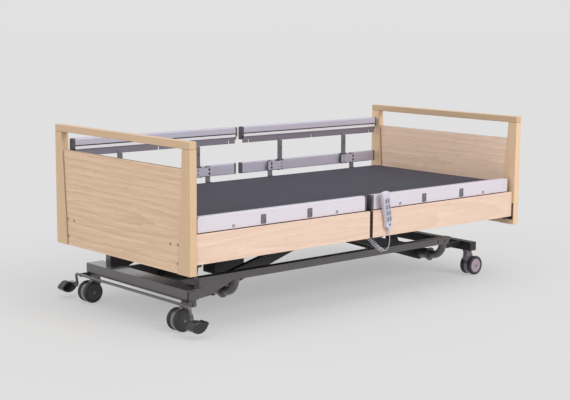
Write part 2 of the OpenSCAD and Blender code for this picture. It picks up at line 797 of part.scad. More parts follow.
// ---------- hand control lead ----------

lead_r = 2;
curl_r = 9;
lead_route = [[109, -531, 325], [110.5, -531, 314], [112, -530.5, 302], [112.5, -530, 290],
    [111.5, -529, 279], [109, -527.5, 268], [106, -525.5, 258], [102, -522.5, 250], [96, -519, 246.5], [90, -515.5, 247]];
curl_route = [[90, -515.5, 247], [80, -511, 250], [68, -506, 257], [56, -501.5, 267], [46, -497, 279],
    [37, -491, 291], [29, -482, 302], [21, -470, 311], [14, -456, 318], [10, -440, 322]];

// Points on a smooth curve through a route, n to a stretch
function bend(p, i) = p[max(0, min(len(p) - 1, i))];
function curve(p, n) = concat([for (i = [0:len(p) - 2], k = [0:n - 1])
    let (t = k / n, a = bend(p, i - 1), b = p[i], c = p[i + 1], d = bend(p, i + 2))
    0.5 * (2 * b + t * (c - a) + t * t * (2 * a - 5 * b + 4 * c - d) + t * t * t * (3 * b - a - 3 * c + d))],
    [p[len(p) - 1]]);

function unit(v) = v / norm(v);

// A round tube swept along a route, with its rings square to the route
module sweep(p, r, sides) {
    q = curve(p, 3);
    n = len(q);
    dirs = [for (i = [0:n - 1]) unit(q[min(n - 1, i + 1)] - q[max(0, i - 1)])];
    rings = [for (i = [0:n - 1]) let (u = unit(cross(dirs[i], [0, 1, 0.2])), v = cross(dirs[i], u))
        for (k = [0:sides - 1]) q[i] + r * (cos(360 * k / sides) * u + sin(360 * k / sides) * v)];
    faces = concat([[for (k = [0:sides - 1]) k]],
        [for (i = [0:n - 2], k = [0:sides - 1]) let (a = i * sides + k, b = i * sides + (k + 1) % sides)
            each [[a, a + sides, b + sides], [a, b + sides, b]]],
        [[for (k = [sides - 1:-1:0]) (n - 1) * sides + k]]);
    polyhedron(rings, faces);
}

module handset_cord() color(plastic) sweep(lead_route, lead_r, 8);
module curly_cord() color(plastic) sweep(curl_route, curl_r, 12);

base_side_tubes();
foot_cross_beam();
head_cross_beam();
lift_pivot_tubes();
brake_bar();
brake_pedals();
caster_fork_foot_near();
caster_fork_foot_far();
caster_fork_head_near();
caster_fork_head_far();
caster_wheels_foot_near();
caster_wheels_foot_far();
caster_wheels_head_near();
caster_wheels_head_far();
foot_lift_arms();
head_lift_arms();
lift_motor();
lift_rod();
upper_frame();
seat_deck();
foot_posts();
foot_hand_rail();
foot_panel();
head_posts();
head_hand_rail();
head_panel();
board_fixings();
side_panels_near();
side_panels_far();
control_box();
handset();
handset_cord();
curly_cord();
key_back();
key_thigh();
key_height();
key_auto();
mattress_seat();
back_motor();
back_rod();
leg_motor();
leg_rod();
back_deck();
mattress_back();
thigh_deck();
mattress_thigh();
calf_deck();
mattress_calf();
upper_rail_foot_near();
upper_rail_head_near();
upper_rail_foot_far();
upper_rail_head_far();
lower_rail_foot_near();
lower_rail_head_near();
lower_rail_foot_far();
lower_rail_head_far();
rail_posts_foot_near();
rail_posts_head_near();
rail_posts_foot_far();
rail_posts_head_far();
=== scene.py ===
"""Looks of the adjustable hospital bed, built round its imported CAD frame. Metres; +X is the head end, -Y the near
side, +Z up. Order: camera, materials, shape helpers, lead, end boards, side panels, side rails, mattress, base with
lift, deck and drives, casters, brake, hand control, stage."""

from math import cos, pi, radians, sin

import bmesh
import bpy
from mathutils import Matrix, Vector


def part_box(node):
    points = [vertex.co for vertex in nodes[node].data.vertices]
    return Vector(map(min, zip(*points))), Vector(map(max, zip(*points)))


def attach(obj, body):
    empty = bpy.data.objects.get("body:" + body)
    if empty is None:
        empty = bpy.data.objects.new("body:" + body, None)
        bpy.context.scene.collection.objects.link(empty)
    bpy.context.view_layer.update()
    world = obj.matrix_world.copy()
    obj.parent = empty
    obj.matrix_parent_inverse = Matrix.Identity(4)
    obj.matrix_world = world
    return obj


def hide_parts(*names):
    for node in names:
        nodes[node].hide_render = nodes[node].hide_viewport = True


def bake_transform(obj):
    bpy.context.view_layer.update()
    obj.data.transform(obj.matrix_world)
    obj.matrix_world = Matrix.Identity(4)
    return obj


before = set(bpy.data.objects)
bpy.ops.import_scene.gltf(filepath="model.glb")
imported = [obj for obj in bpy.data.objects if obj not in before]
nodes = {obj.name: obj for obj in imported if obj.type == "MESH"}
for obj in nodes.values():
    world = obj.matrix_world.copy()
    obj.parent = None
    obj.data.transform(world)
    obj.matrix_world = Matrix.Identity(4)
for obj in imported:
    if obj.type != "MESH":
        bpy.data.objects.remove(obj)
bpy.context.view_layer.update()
scene = bpy.context.scene
MM = 0.001
ENDS, SIDES, PAIR = (("foot", -1), ("head", 1)), (("near", -1), ("far", 1)), (("a", -1), ("b", 1))


# ---------- camera ----------

CAMERA_AT = (-4.197, -4.719, 1.381)
CAMERA_ANGLES = (41.03, 8.49, 0.36)  # yaw, pitch and roll in degrees
CAMERA_LENS, CAMERA_SENSOR = 80.39, 36


def linked(name, data):
    """A new object in the scene."""
    made = bpy.data.objects.new(name, data)
    scene.collection.objects.link(made)
    return made


def make_camera():
    yaw, pitch, roll = map(radians, CAMERA_ANGLES)
    ahead = Vector((sin(yaw) * cos(pitch), cos(yaw) * cos(pitch), -sin(pitch)))
    level = Vector((cos(yaw), -sin(yaw), 0))
    upright = level.cross(ahead)
    right = level * cos(roll) + upright * sin(roll)
    up = upright * cos(roll) - level * sin(roll)
    data = bpy.data.cameras.new("camera")
    data.lens, data.sensor_width = CAMERA_LENS, CAMERA_SENSOR
    data.clip_start, data.clip_end = 0.1, 100
    camera = linked("camera", data)
    turn = Matrix((right, up, -ahead)).transposed().to_4x4()
    camera.matrix_world = Matrix.Translation(CAMERA_AT) @ turn
    scene.camera = camera


make_camera()


# ---------- node helpers ----------


def add(tree, kind, inputs=None, **settings):
    """A new node. inputs maps a socket's name or number to a value or to another node's socket."""
    made = tree.nodes.new(kind)
    for key, value in settings.items():
        setattr(made, key, value)
    for key, value in (inputs or {}).items():
        if isinstance(value, bpy.types.NodeSocket):
            tree.links.new(value, made.inputs[key])
        else:
            made.inputs[key].default_value = value
    return made


def shader(name, color, roughness, metallic=0.0, **sockets):
    """A material with one Principled shader. Returns the material, its tree and the shader."""
    made = bpy.data.materials.new(name)
    made.use_nodes = True
    tree = made.node_tree
    principled = tree.nodes["Principled BSDF"]
    principled.inputs["Base Color"].default_value = (*color, 1)
    principled.inputs["Roughness"].default_value = roughness
    principled.inputs["Metallic"].default_value = metallic
    for key, value in sockets.items():
        principled.inputs[key.replace("_", " ").title().replace("Ior", "IOR")].default_value = value
    made.diffuse_color = (*color, 1)
    return made, tree, principled


def mapped(tree, vector, socket, value):
    return add(tree, "ShaderNodeMapping", {"Vector": vector, socket: value}).outputs[0]


def coordinates(tree, scale=(1, 1, 1), attribute=None):
    """The object's own coordinates, or a stored attribute, stretched by a scale."""
    if attribute:
        source = add(tree, "ShaderNodeAttribute", attribute_name=attribute).outputs["Vector"]
    else:
        source = add(tree, "ShaderNodeTexCoord").outputs["Object"]
    return mapped(tree, source, "Scale", scale)


def noise(tree, vector, scale, detail=4.0, roughness=0.55, distortion=0.0):
    return add(tree, "ShaderNodeTexNoise", {"Vector": vector, "Scale": scale, "Detail": detail,
               "Roughness": roughness, "Distortion": distortion}).outputs[0]


def spread(tree, value, low, high, start=0.3, end=0.7):
    """A value from start to end, mapped to low to high and held there outside."""
    return add(tree, "ShaderNodeMapRange", {"Value": value, "From Min": start, "From Max": end,
               "To Min": low, "To Max": high}).outputs[0]


def mixed(tree, factor, first, second):
    return add(tree, "ShaderNodeMix", {0: factor, 6: first, 7: second}, data_type="RGBA").outputs[2]


def summed(tree, *values):
    total = values[0]
    for value in values[1:]:
        total = add(tree, "ShaderNodeMath", {0: total, 1: value}, operation="ADD").outputs[0]
    return total


def times(tree, value, factor):
    return add(tree, "ShaderNodeMath", {0: value, 1: factor}, operation="MULTIPLY").outputs[0]


def bumped(tree, principled, height, distance, strength):
    made = add(tree, "ShaderNodeBump", {"Height": height, "Distance": distance, "Strength": strength})
    feed(principled, "Normal", made.outputs[0])


def rgba(color):
    return (*color, 1)


def feed(principled, socket, value):
    """Lets a node's output drive one socket of the shader."""
    principled.id_data.links.new(value, principled.inputs[socket])


def stretched(axis, along, across):
    """The scale of a texture that is stretched along one axis."""
    return [along if letter == axis else across for letter in "xyz"]


# ---------- materials ----------


GRAIN_SCALE, FIBRE_SCALE = 0.075, 0.035
RING_SHARE, STREAK_SHARE, SLOW_SHARE = 0.22, 0.62, 0.26


def wood(name, light, dark, pore, along, centre, figure=0.62, roughness=0.42):
    """Satin oak: growth rings stretched along the grain, fine pores, and slow changes of tone."""
    made, tree, principled = shader(name, light, roughness, coat_weight=0.12, coat_roughness=0.35)
    moved = mapped(tree, add(tree, "ShaderNodeTexCoord").outputs["Object"], "Location", [-c for c in centre])
    grain = mapped(tree, moved, "Scale", stretched(along, GRAIN_SCALE, 1.0))
    fibre = mapped(tree, moved, "Scale", stretched(along, FIBRE_SCALE, 1.0))
    rings = add(tree, "ShaderNodeTexWave", {"Vector": grain, "Scale": 10.0, "Distortion": 4.0, "Detail": 4.0,
                "Detail Scale": 2.2, "Detail Roughness": 0.6}, wave_type="RINGS", rings_direction="SPHERICAL",
                wave_profile="SAW").outputs[1]
    streaks = noise(tree, fibre, 95.0, 5.0, 0.66, 0.3)
    fine = noise(tree, grain, 190.0, 3.0, 0.6)
    slow = noise(tree, grain, 5.0, 2.0)
    tone = summed(tree, times(tree, rings, RING_SHARE), times(tree, streaks, STREAK_SHARE),
                  times(tree, slow, SLOW_SHARE))
    base = mixed(tree, spread(tree, tone, 0.0, figure, 0.40, 0.70), rgba(light), rgba(dark))
    pores = noise(tree, coordinates(tree, stretched(along, 14.0, 430.0)), 1.0, 2.0, 0.5)
    open_pore = spread(tree, pores, 0.0, 0.38, 0.58, 0.74)
    feed(principled, "Base Color", mixed(tree, open_pore, base, rgba(pore)))
    feed(principled, "Roughness", spread(tree, streaks, roughness - 0.06, roughness + 0.1))
    height = summed(tree, times(tree, open_pore, -1.0), times(tree, fine, 0.35))
    bumped(tree, principled, height, 0.0004, 0.35)
    return made


def coated_steel(name, color, roughness, peel=0.5, metallic=0.0, coat=0.15, gloss=0.3):
    """Powder-coated steel: orange peel, slow blotches of gloss and faint dust on top of it."""
    made, tree, principled = shader(name, color, roughness, metallic, coat_weight=coat, coat_roughness=gloss)
    where = coordinates(tree)
    peels = noise(tree, where, 520.0, 2.0, 0.5)
    blotch = noise(tree, where, 7.0, 4.0, 0.6)
    feed(principled, "Roughness", spread(tree, blotch, roughness - 0.07, roughness + 0.1))
    darker = [c * 0.82 for c in color]
    lighter = [min(1.0, c * 1.15 + 0.006) for c in color]
    feed(principled, "Base Color", mixed(tree, blotch, rgba(darker), rgba(lighter)))
    bumped(tree, principled, peels, 0.0003, peel)
    return made


def anodised(name, color, metallic=0.35, roughness=0.36):
    """Satin anodised aluminium: drawing lines along the extrusion and soft handling marks."""
    made, tree, principled = shader(name, color, roughness, metallic)
    lines = noise(tree, coordinates(tree, stretched("x", 5.0, 900.0)), 1.0, 3.0, 0.6)
    marks = noise(tree, coordinates(tree), 11.0, 5.0, 0.6)
    feed(principled, "Roughness", summed(tree, spread(tree, lines, -0.05, 0.05),
                                         spread(tree, marks, roughness - 0.03, roughness + 0.07)))
    dull = [c * 0.93 for c in color]
    feed(principled, "Base Color", mixed(tree, lines, rgba(dull), rgba(color)))
    bumped(tree, principled, lines, 0.00006, 0.25)
    return made


def moulded(name, color, roughness, coat=0.0, grain=900.0, depth=0.0002):
    """Moulded plastic: spark-eroded grain and a slow change of gloss."""
    made, tree, principled = shader(name, color, roughness, coat_weight=coat, coat_roughness=0.2)
    where = coordinates(tree)
    cells = add(tree, "ShaderNodeTexVoronoi", {"Vector": where, "Scale": grain}, feature="SMOOTH_F1").outputs[0]
    cloud = noise(tree, where, 14.0, 4.0)
    feed(principled, "Roughness", spread(tree, cloud, roughness - 0.05, roughness + 0.08))
    darker = [c * 0.9 for c in color]
    feed(principled, "Base Color", mixed(tree, cloud, rgba(darker), rgba(color)))
    bumped(tree, principled, cells, depth, 0.35)
    return made


def bright_rod(name, color, roughness):
    """Bright metal with grinding lines round a rod along X, and slight smears."""
    made, tree, principled = shader(name, color, roughness, 1.0)
    lines = noise(tree, coordinates(tree, stretched("x", 1500.0, 60.0)), 1.0, 3.0, 0.6)
    smear = noise(tree, coordinates(tree), 25.0, 4.0)
    feed(principled, "Roughness", summed(tree, spread(tree, lines, -0.04, 0.06),
                                         spread(tree, smear, roughness - 0.03, roughness + 0.08)))
    bumped(tree, principled, lines, 0.00005, 0.3)
    return made


def tyre_rubber(name, color):
    """Wheel tread: fine dust in a matt polyurethane."""
    made, tree, principled = shader(name, color, 0.55)
    where = coordinates(tree)
    dust = noise(tree, where, 60.0, 6.0, 0.7)
    dusty = [c * 1.7 + 0.02 for c in color]
    feed(principled, "Base Color", mixed(tree, spread(tree, dust, 0.0, 0.6, 0.45, 0.8), rgba(color), rgba(dusty)))
    feed(principled, "Roughness", spread(tree, dust, 0.45, 0.68))
    bumped(tree, principled, noise(tree, where, 700.0), 0.0002, 0.4)
    return made


REST = "rest_at"
SEAM_Z = 0.456


def knit(name, color, bright):
    """Coated stretch knit of the mattress cover, with fine loops, slow creases and a welded side seam."""
    made, tree, principled = shader(name, color, 0.62, sheen_weight=0.04, sheen_roughness=0.4,
                                    specular_ior_level=0.12)
    principled.inputs["Sheen Tint"].default_value = (0.75, 0.76, 0.85, 1)
    where = coordinates(tree, attribute=REST)
    loops = add(tree, "ShaderNodeTexVoronoi", {"Vector": coordinates(tree, (650, 480, 650), REST), "Scale": 1.0},
                feature="F1").outputs[0]
    soft = noise(tree, where, 3.2, 4.0, 0.55)
    crease = noise(tree, coordinates(tree, (9, 22, 12), REST), 1.0, 4.0, 0.55, 0.7)
    speck = noise(tree, where, 420.0, 2.0)
    height_of = add(tree, "ShaderNodeSeparateXYZ", {0: where}).outputs[2]
    apart = add(tree, "ShaderNodeMath", {0: height_of, 1: SEAM_Z}, operation="SUBTRACT").outputs[0]
    off_seam = add(tree, "ShaderNodeMath", {0: apart}, operation="ABSOLUTE").outputs[0]
    in_seam = spread(tree, off_seam, 1.0, 0.0, 0.0012, 0.0026)
    tone = summed(tree, times(tree, soft, 0.6), times(tree, speck, 0.4))
    base = mixed(tree, spread(tree, tone, 0.0, 1.0, 0.38, 0.62), rgba(color), rgba(bright))
    feed(principled, "Base Color", mixed(tree, times(tree, in_seam, 0.7), base, rgba([c * 0.4 for c in color])))
    feed(principled, "Roughness", spread(tree, soft, 0.58, 0.70))
    height = summed(tree, times(tree, loops, 0.12), times(tree, crease, 0.9), times(tree, in_seam, -1.5))
    bumped(tree, principled, height, 0.0011, 0.6)
    return made


OAK_LIGHT, OAK_DARK, OAK_PORE = (0.79, 0.56, 0.38), (0.55, 0.35, 0.22), (0.33, 0.19, 0.11)
FRONT_LIGHT, FRONT_DARK = (0.80, 0.60, 0.47), (0.64, 0.44, 0.34)
BEECH_PORE = (0.46, 0.28, 0.14)
LOOKS = {
    "oak_foot": (wood, OAK_LIGHT, OAK_DARK, OAK_PORE, "y", (-1.07, 0.12, 0.47)),
    # oak_head is the foot board's oak made lighter and pinker: painted light on the head board's inner face, which
    # gets less light.
    "oak_head": (wood, (0.98, 0.73, 0.57), (0.78, 0.54, 0.40), OAK_PORE, "y", (1.07, 0.2, 0.55)),
    "oak_near": (wood, FRONT_LIGHT, FRONT_DARK, OAK_PORE, "x", (-0.3, -0.51, 0.36), 0.5),
    "oak_far": (wood, FRONT_LIGHT, FRONT_DARK, OAK_PORE, "x", (0.3, 0.51, 0.4), 0.5),
    "beech_foot": (wood, (0.68, 0.47, 0.29), (0.57, 0.37, 0.21), BEECH_PORE, "z", (0.0, 0.6, 0.5), 0.4, 0.36),
    # beech_head is beech_foot made lighter: painted light on the head posts.
    "beech_head": (wood, (0.82, 0.58, 0.38), (0.70, 0.48, 0.29), BEECH_PORE, "z", (0.0, 0.6, 0.5), 0.4, 0.36),
    "beech_rail": (wood, (0.66, 0.46, 0.29), (0.55, 0.36, 0.21), BEECH_PORE, "y", (0.2, 0.0, 0.9), 0.4, 0.36),
    "edge_band": (wood, (0.86, 0.74, 0.62), (0.78, 0.64, 0.50), (0.6, 0.46, 0.34), "z", (0.0, 0.5, 0.2), 0.3),
    # Very dark wood for the board tongues and for the side-panel edges that face the gap between panels: painted
    # shade in the gaps.
    "groove": (wood, (0.20, 0.10, 0.05), (0.14, 0.07, 0.03), (0.08, 0.04, 0.02), "z", (1.0, 0.4, 0.4)),
    "rail_light": (anodised, (0.77, 0.72, 0.78)),
    "rail_bright": (anodised, (0.88, 0.87, 0.90), 0.3),
    # rail_grey is the rail aluminium made darker than rail_light, as painted shade on the inner faces of the rail
    # cores; the lower rails use it too.
    "rail_grey": (anodised, (0.58, 0.55, 0.65)),
    "rail_flange": (anodised, (0.25, 0.225, 0.27)),
    "rail_groove": (moulded, (0.07, 0.06, 0.075), 0.6),
    "rail_cap": (moulded, (0.105, 0.10, 0.11), 0.4),
    "rail_clip": (moulded, (0.16, 0.14, 0.155), 0.35, 0.3),
    "lower_cap": (moulded, (0.10, 0.085, 0.095), 0.45),
    "post_steel": (coated_steel, (0.16, 0.15, 0.165), 0.34),
    "base_steel": (coated_steel, (0.056, 0.047, 0.052), 0.3, 0.06, 0.0, 1.0, 0.12),
    # Near-black steel for the lift arms, upper frame and angles under the bed, partly their own black and partly
    # painted shade; the head cross beam is the foot beam's steel made near-black as painted shade.
    "black_steel": (coated_steel, (0.009, 0.009, 0.011), 0.45),
    "deck_steel": (coated_steel, (0.06, 0.058, 0.064), 0.5),
    "brake_steel": (coated_steel, (0.15, 0.14, 0.145), 0.22, 0.2, 0.6, 0.6),
    "fork_steel": (coated_steel, (0.15, 0.13, 0.16), 0.2, 0.2, 0.25, 0.7),
    "cover_cap": (moulded, (0.20, 0.15, 0.13), 0.4),
    "rod_chrome": (bright_rod, (0.78, 0.78, 0.80), 0.14),
    "housing": (moulded, (0.014, 0.014, 0.016), 0.42, 0.0, 700.0),
    "pedal": (moulded, (0.008, 0.006, 0.008), 0.18, 0.5, 500.0, 0.0003),
    "hub_dark": (moulded, (0.024, 0.020, 0.022), 0.34, 0.2),
    "hub_grey": (moulded, (0.36, 0.29, 0.34), 0.36, 0.25),
    "rim_light": (moulded, (0.10, 0.09, 0.10), 0.32, 0.3),
    "tyre": (tyre_rubber, (0.017, 0.016, 0.018)),
    "cover": (knit, (0.038, 0.037, 0.055), (0.050, 0.049, 0.069)),
    "handset": (moulded, (0.62, 0.60, 0.68), 0.38, 0.2),
    "keypad": (moulded, (0.46, 0.44, 0.52), 0.42),
    "key": (moulded, (0.10, 0.09, 0.14), 0.5, 0.0, 1400.0),
    "key_mark": (moulded, (0.78, 0.77, 0.82), 0.5),
    "led": (moulded, (0.12, 0.30, 0.14), 0.2, 0.6),
    "lead": (moulded, (0.58, 0.56, 0.62), 0.34, 0.2, 1500.0, 0.0001),
}
MAT = {name: make(name, *values) for name, (make, *values) in LOOKS.items()}


# ---------- shape helpers ----------


def from_bmesh(name, bm, materials):
    bmesh.ops.recalc_face_normals(bm, faces=bm.faces[:])
    mesh = bpy.data.meshes.new(name)
    bm.to_mesh(mesh)
    bm.free()
    mesh.polygons.foreach_set("use_smooth", [True] * len(mesh.polygons))
    for key in [materials] if isinstance(materials, str) else materials:
        mesh.materials.append(MAT[key])
    return linked(name, mesh)


WELD_DISTANCE, FLAT_DEG, BEVEL_DEG, SPLIT_DEG = 0.00002, 0.8, 32, 48


def soften(piece, width, segments=2, weld=False):
    """Rounds a piece's hard edges by a bevel, and shades its flat faces flat."""
    if weld:
        made = piece.modifiers.new("weld", "WELD")
        made.merge_threshold = WELD_DISTANCE
        made = piece.modifiers.new("planar", "DECIMATE")
        made.decimate_type, made.angle_limit = "DISSOLVE", radians(FLAT_DEG)
    if width:
        made = piece.modifiers.new("bevel", "BEVEL")
        made.width, made.segments, made.limit_method = width, segments, "ANGLE"
        made.angle_limit, made.use_clamp_overlap = radians(BEVEL_DEG), True
    made = piece.modifiers.new("split", "EDGE_SPLIT")
    made.split_angle, made.use_edge_sharp = radians(SPLIT_DEG), True
    made = piece.modifiers.new("normals", "WEIGHTED_NORMAL")
    made.keep_sharp, made.weight = True, 90
    return piece


def arc(centre, radius, start, end, steps):
    """Points on an arc, from one angle to the other in degrees, in a plane."""
    angles = [radians(start + (end - start) * i / steps) for i in range(steps + 1)]
    return [(centre[0] + radius * cos(a), centre[1] + radius * sin(a)) for a in angles]


def rounded(lo, hi, radius, steps=5):
    """The outline of a rectangle with rounded corners."""
    corners = ((hi[0], hi[1], 0), (lo[0], hi[1], 90), (lo[0], lo[1], 180), (hi[0], lo[1], 270))
    points = []
    for u, v, start in corners:
        inward = (u - radius if u == hi[0] else u + radius, v - radius if v == hi[1] else v + radius)
        points += arc(inward, radius, start, start + 90, steps)
    return points


PLANES = {"x": (1, 2), "y": (0, 2), "z": (0, 1)}


def placed(axis, u, v, along):
    """A point from its place in the plane square to an axis and its place along that axis."""
    point = [0.0, 0.0, 0.0]
    point["xyz".index(axis)] = along
    point[PLANES[axis][0]], point[PLANES[axis][1]] = u, v
    return point


def add_prism(bm, outline, axis, lo, hi, material=0):
    """Adds a closed outline, extruded along an axis from lo to hi, to a mesh."""
    low, high = [[bm.verts.new(placed(axis, u, v, along)) for u, v in outline] for along in (lo, hi)]
    count = len(outline)
    sides = [(low[(i + 1) % count], low[i], high[i], high[(i + 1) % count]) for i in range(count)]
    for corners in (low, high[::-1], *sides):
        bm.faces.new(corners).material_index = material


def add_lathe(bm, profile, axis, centre, steps=48, material=0):
    """Adds a profile of (radius, place along the axis) points, turned about an axis through a centre."""
    rings = []
    closed = profile[0] == profile[-1]
    profile = profile[:-1] if closed else profile
    for i in range(steps):
        a = 2 * pi * i / steps
        ring = []
        for radius, along in profile:
            point = Vector(placed(axis, radius * cos(a), radius * sin(a), along)) + Vector(centre)
            ring.append(bm.verts.new(point))
        rings.append(ring)
    for i in range(steps):
        one, two = rings[i], rings[(i + 1) % steps]
        for k in range(len(profile) if closed else len(profile) - 1):
            n = (k + 1) % len(profile)
            bm.faces.new((one[k], one[n], two[n], two[k])).material_index = material
    for end in () if closed else (0, -1):
        if profile[end][0] > 0:
            bm.faces.new([ring[end] for ring in rings]).material_index = material
    if not closed:
        bmesh.ops.remove_doubles(bm, verts=[v for ring in rings for v in (ring[0], ring[-1])], dist=1e-7)


def prism(name, outline, axis, lo, hi, materials, bevel=0.0, segments=2):
    bm = bmesh.new()
    add_prism(bm, outline, axis, lo, hi)
    return soften(from_bmesh(name, bm, materials), bevel, segments)


def box(name, lo, hi, *finish):
    return prism(name, [(lo[0], lo[1]), (hi[0], lo[1]), (hi[0], hi[1]), (lo[0], hi[1])], "z", lo[2], hi[2], *finish)


def lathe(name, profile, axis, centre, materials, steps=48):
    bm = bmesh.new()
    add_lathe(bm, profile, axis, centre, steps)
    return soften(from_bmesh(name, bm, materials), 0.0)


def smooth_route(points, steps):
    """Points on a smooth curve through a route."""
    at = [Vector(p) for p in points]
    out = []
    for i in range(len(at) - 1):
        a, b, c, d = at[max(0, i - 1)], at[i], at[i + 1], at[min(len(at) - 1, i + 2)]
        for k in range(steps):
            t = k / steps
            out.append(0.5 * (2 * b + t * (c - a) + t * t * (2 * a - 5 * b + 4 * c - d)
                              + t ** 3 * (3 * b - a - 3 * c + d)))
    return out + [at[-1]]


def tube(name, points, radius, materials, sides=4):
    """A round tube along points, as a curve with a bevel."""
    data = bpy.data.curves.new(name, "CURVE")
    data.dimensions, data.bevel_depth, data.bevel_resolution, data.use_fill_caps = "3D", radius, sides, True
    spline = data.splines.new("POLY")
    spline.points.add(len(points) - 1)
    for target, point in zip(spline.points, points):
        target.co = (*point, 1)
    data.materials.append(MAT[materials])
    return linked(name, data)


def belongs(piece, body, replaces=()):
    """Lets a piece ride on a body, and stand for CAD nodes."""
    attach(piece, body)
    if replaces:
        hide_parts(*replaces)
    return piece


def keep(name, material, slot, bevel, segments):
    """Keeps a CAD node's shape, with rounded edges and a finished material."""
    piece = nodes[name]
    piece.data.materials.clear()
    piece.data.materials.append(MAT[material])
    soften(piece, bevel, segments, weld=True)
    return piece


# ---------- lead of the hand control ----------

LEAD_ROUTE = [(109, -531, 325), (110.5, -531, 314), (112, -530.5, 302), (112.5, -530, 290), (111.5, -529, 279),
              (109, -527.5, 268), (106, -525.5, 258), (102, -522.5, 250), (96, -519, 246.5), (90, -515.5, 247)]
CURL_ROUTE = [(90, -515.5, 247), (80, -511, 250), (68, -506, 257), (56, -501.5, 267), (46, -497, 279),
              (37, -491, 291), (29, -482, 302), (21, -470, 311), (14, -456, 318), (10, -440, 322)]
LEAD_R, CURL_R, CURL_TURNS, TURN_STEPS = 1.8, 10.0, 14, 18


def route_length(points):
    return sum((b - a).length for a, b in zip(points, points[1:]))


def wound(made, turns):
    """How far round the coil is after a number of its turns, with a slow start and a slow end."""
    left = turns - made
    if made < 1:
        return made * made / 2
    return made - 0.5 if left > 1 else turns - 1 - left * left / 2


def helix(route, radius, turns, steps):
    """A coil round a route, which starts and ends on the route itself."""
    fine = smooth_route(route, 24)
    reach = [0.0]
    for a, b in zip(fine, fine[1:]):
        reach.append(reach[-1] + (b - a).length)
    out, seg = [], 0
    total = turns * steps
    for i in range(total + 1):
        want = reach[-1] * i / total
        while seg < len(fine) - 2 and reach[seg + 1] < want:
            seg += 1
        share = (want - reach[seg]) / max(reach[seg + 1] - reach[seg], 1e-9)
        centre = fine[seg].lerp(fine[seg + 1], share)
        ahead = (fine[min(len(fine) - 1, seg + 2)] - fine[max(0, seg - 1)]).normalized()
        side = ahead.cross(Vector((0, 0, 1))).normalized()
        up = side.cross(ahead)
        size = radius * min(1.0, i / steps, (total - i) / steps)
        angle = 2 * pi * wound(i / steps, turns)
        out.append(centre + size * (cos(angle) * side + sin(angle) * up))
    return out


def make_lead():
    """The whole lead, from the handset to its socket in the control box."""
    straight = smooth_route(LEAD_ROUTE, 5)
    points = [p * MM for p in straight[:-1] + helix(CURL_ROUTE, CURL_R, CURL_TURNS, TURN_STEPS)]
    lead = tube("control_lead", points, LEAD_R * MM, "lead", 3)
    belongs(lead, "upper_frame", ("handset_cord", "curly_cord"))
    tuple(points[0])
    round(route_length(points), 3)


make_lead()


# ---------- end boards ----------

POST_FOOT_W, POST_TOP_W = 0.090, 0.055
PANEL_GROOVE, TONGUE_T, TONGUE_REACH = 0.004, 0.008, 0.001
COVER_PLACES = ((0.148, 0.395), (0.094, 0.397), (0.097, 0.316))
COVER_DOME = [(0, 0.0011), (0.004, 0.0009), (0.0056, 0.0004), (0.006, -0.001)]
ANGLE_REACH, ANGLE_W, ANGLE_T, ANGLE_FOOT, ANGLE_CLEAR = 0.445, 0.035, 0.004, 0.005, 0.006


def mirrored(outline, flip):
    return [(-u, v) for u, v in outline][::-1] if flip else outline


def facing(profile, side):
    """A turned profile that faces one way or the other along its axis."""
    return [(radius, side * along) for radius, along in profile]


# At the head end the posts and panel take beech_head and oak_head, lighter copies of the foot board's woods: painted
# light.
def make_board(end, side):
    lo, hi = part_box(f"{end}_posts")
    half = hi.y
    for word in ("near", "far"):
        outline = [(-half, lo.z), (-half + POST_FOOT_W, lo.z), (-half + POST_TOP_W, hi.z), (-half, hi.z)]
        post = prism(f"{end}_post_{word}", mirrored(outline, word == "far"), "x", lo.x, hi.x, f"beech_{end}",
                     0.0022, 3)
        belongs(post, "upper_frame", [f"{end}_posts"])
    rail_lo, rail_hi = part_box(f"{end}_hand_rail")
    rail = box(f"{end}_rail", rail_lo + Vector((0, 0, 0.0004)), rail_hi, "beech_rail", 0.003, 3)
    belongs(rail, "upper_frame", [f"{end}_hand_rail"])
    panel_lo, panel_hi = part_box(f"{end}_panel")

    def sheet_outline(gap):
        """The field between the slanted posts, less a gap at each side."""
        low, high = [half - POST_FOOT_W + (POST_FOOT_W - POST_TOP_W) * ((z - lo.z) / (hi.z - lo.z)) - gap
                     for z in (panel_lo.z, panel_hi.z)]
        return [(-low, panel_lo.z), (low, panel_lo.z), (high, panel_hi.z), (-high, panel_hi.z)]

    panel = prism(f"{end}_board_panel", sheet_outline(PANEL_GROOVE), "x", panel_lo.x, panel_hi.x,
                  f"oak_{end}", 0.0018, 3)
    belongs(panel, "upper_frame", [f"{end}_panel"])
    middle = (panel_lo.x + panel_hi.x) / 2
    # The tongue shows in the gap beside each post, in the very dark wood: painted shadow in the gap.
    tongue = prism(f"{end}_board_tongue", sheet_outline(-TONGUE_REACH), "x", middle - TONGUE_T / 2,
                   middle + TONGUE_T / 2, "groove")
    belongs(tongue, "upper_frame")
    face = panel_lo.x if side < 0 else panel_hi.x
    for word, y_side in SIDES:
        for i, (inset, z) in enumerate(COVER_PLACES):
            cover = lathe(f"{end}_cover_{word}_{i}", facing(COVER_DOME, side), "x",
                          (face, y_side * (half - inset), z), "cover_cap", 20)
            belongs(cover, "upper_frame")


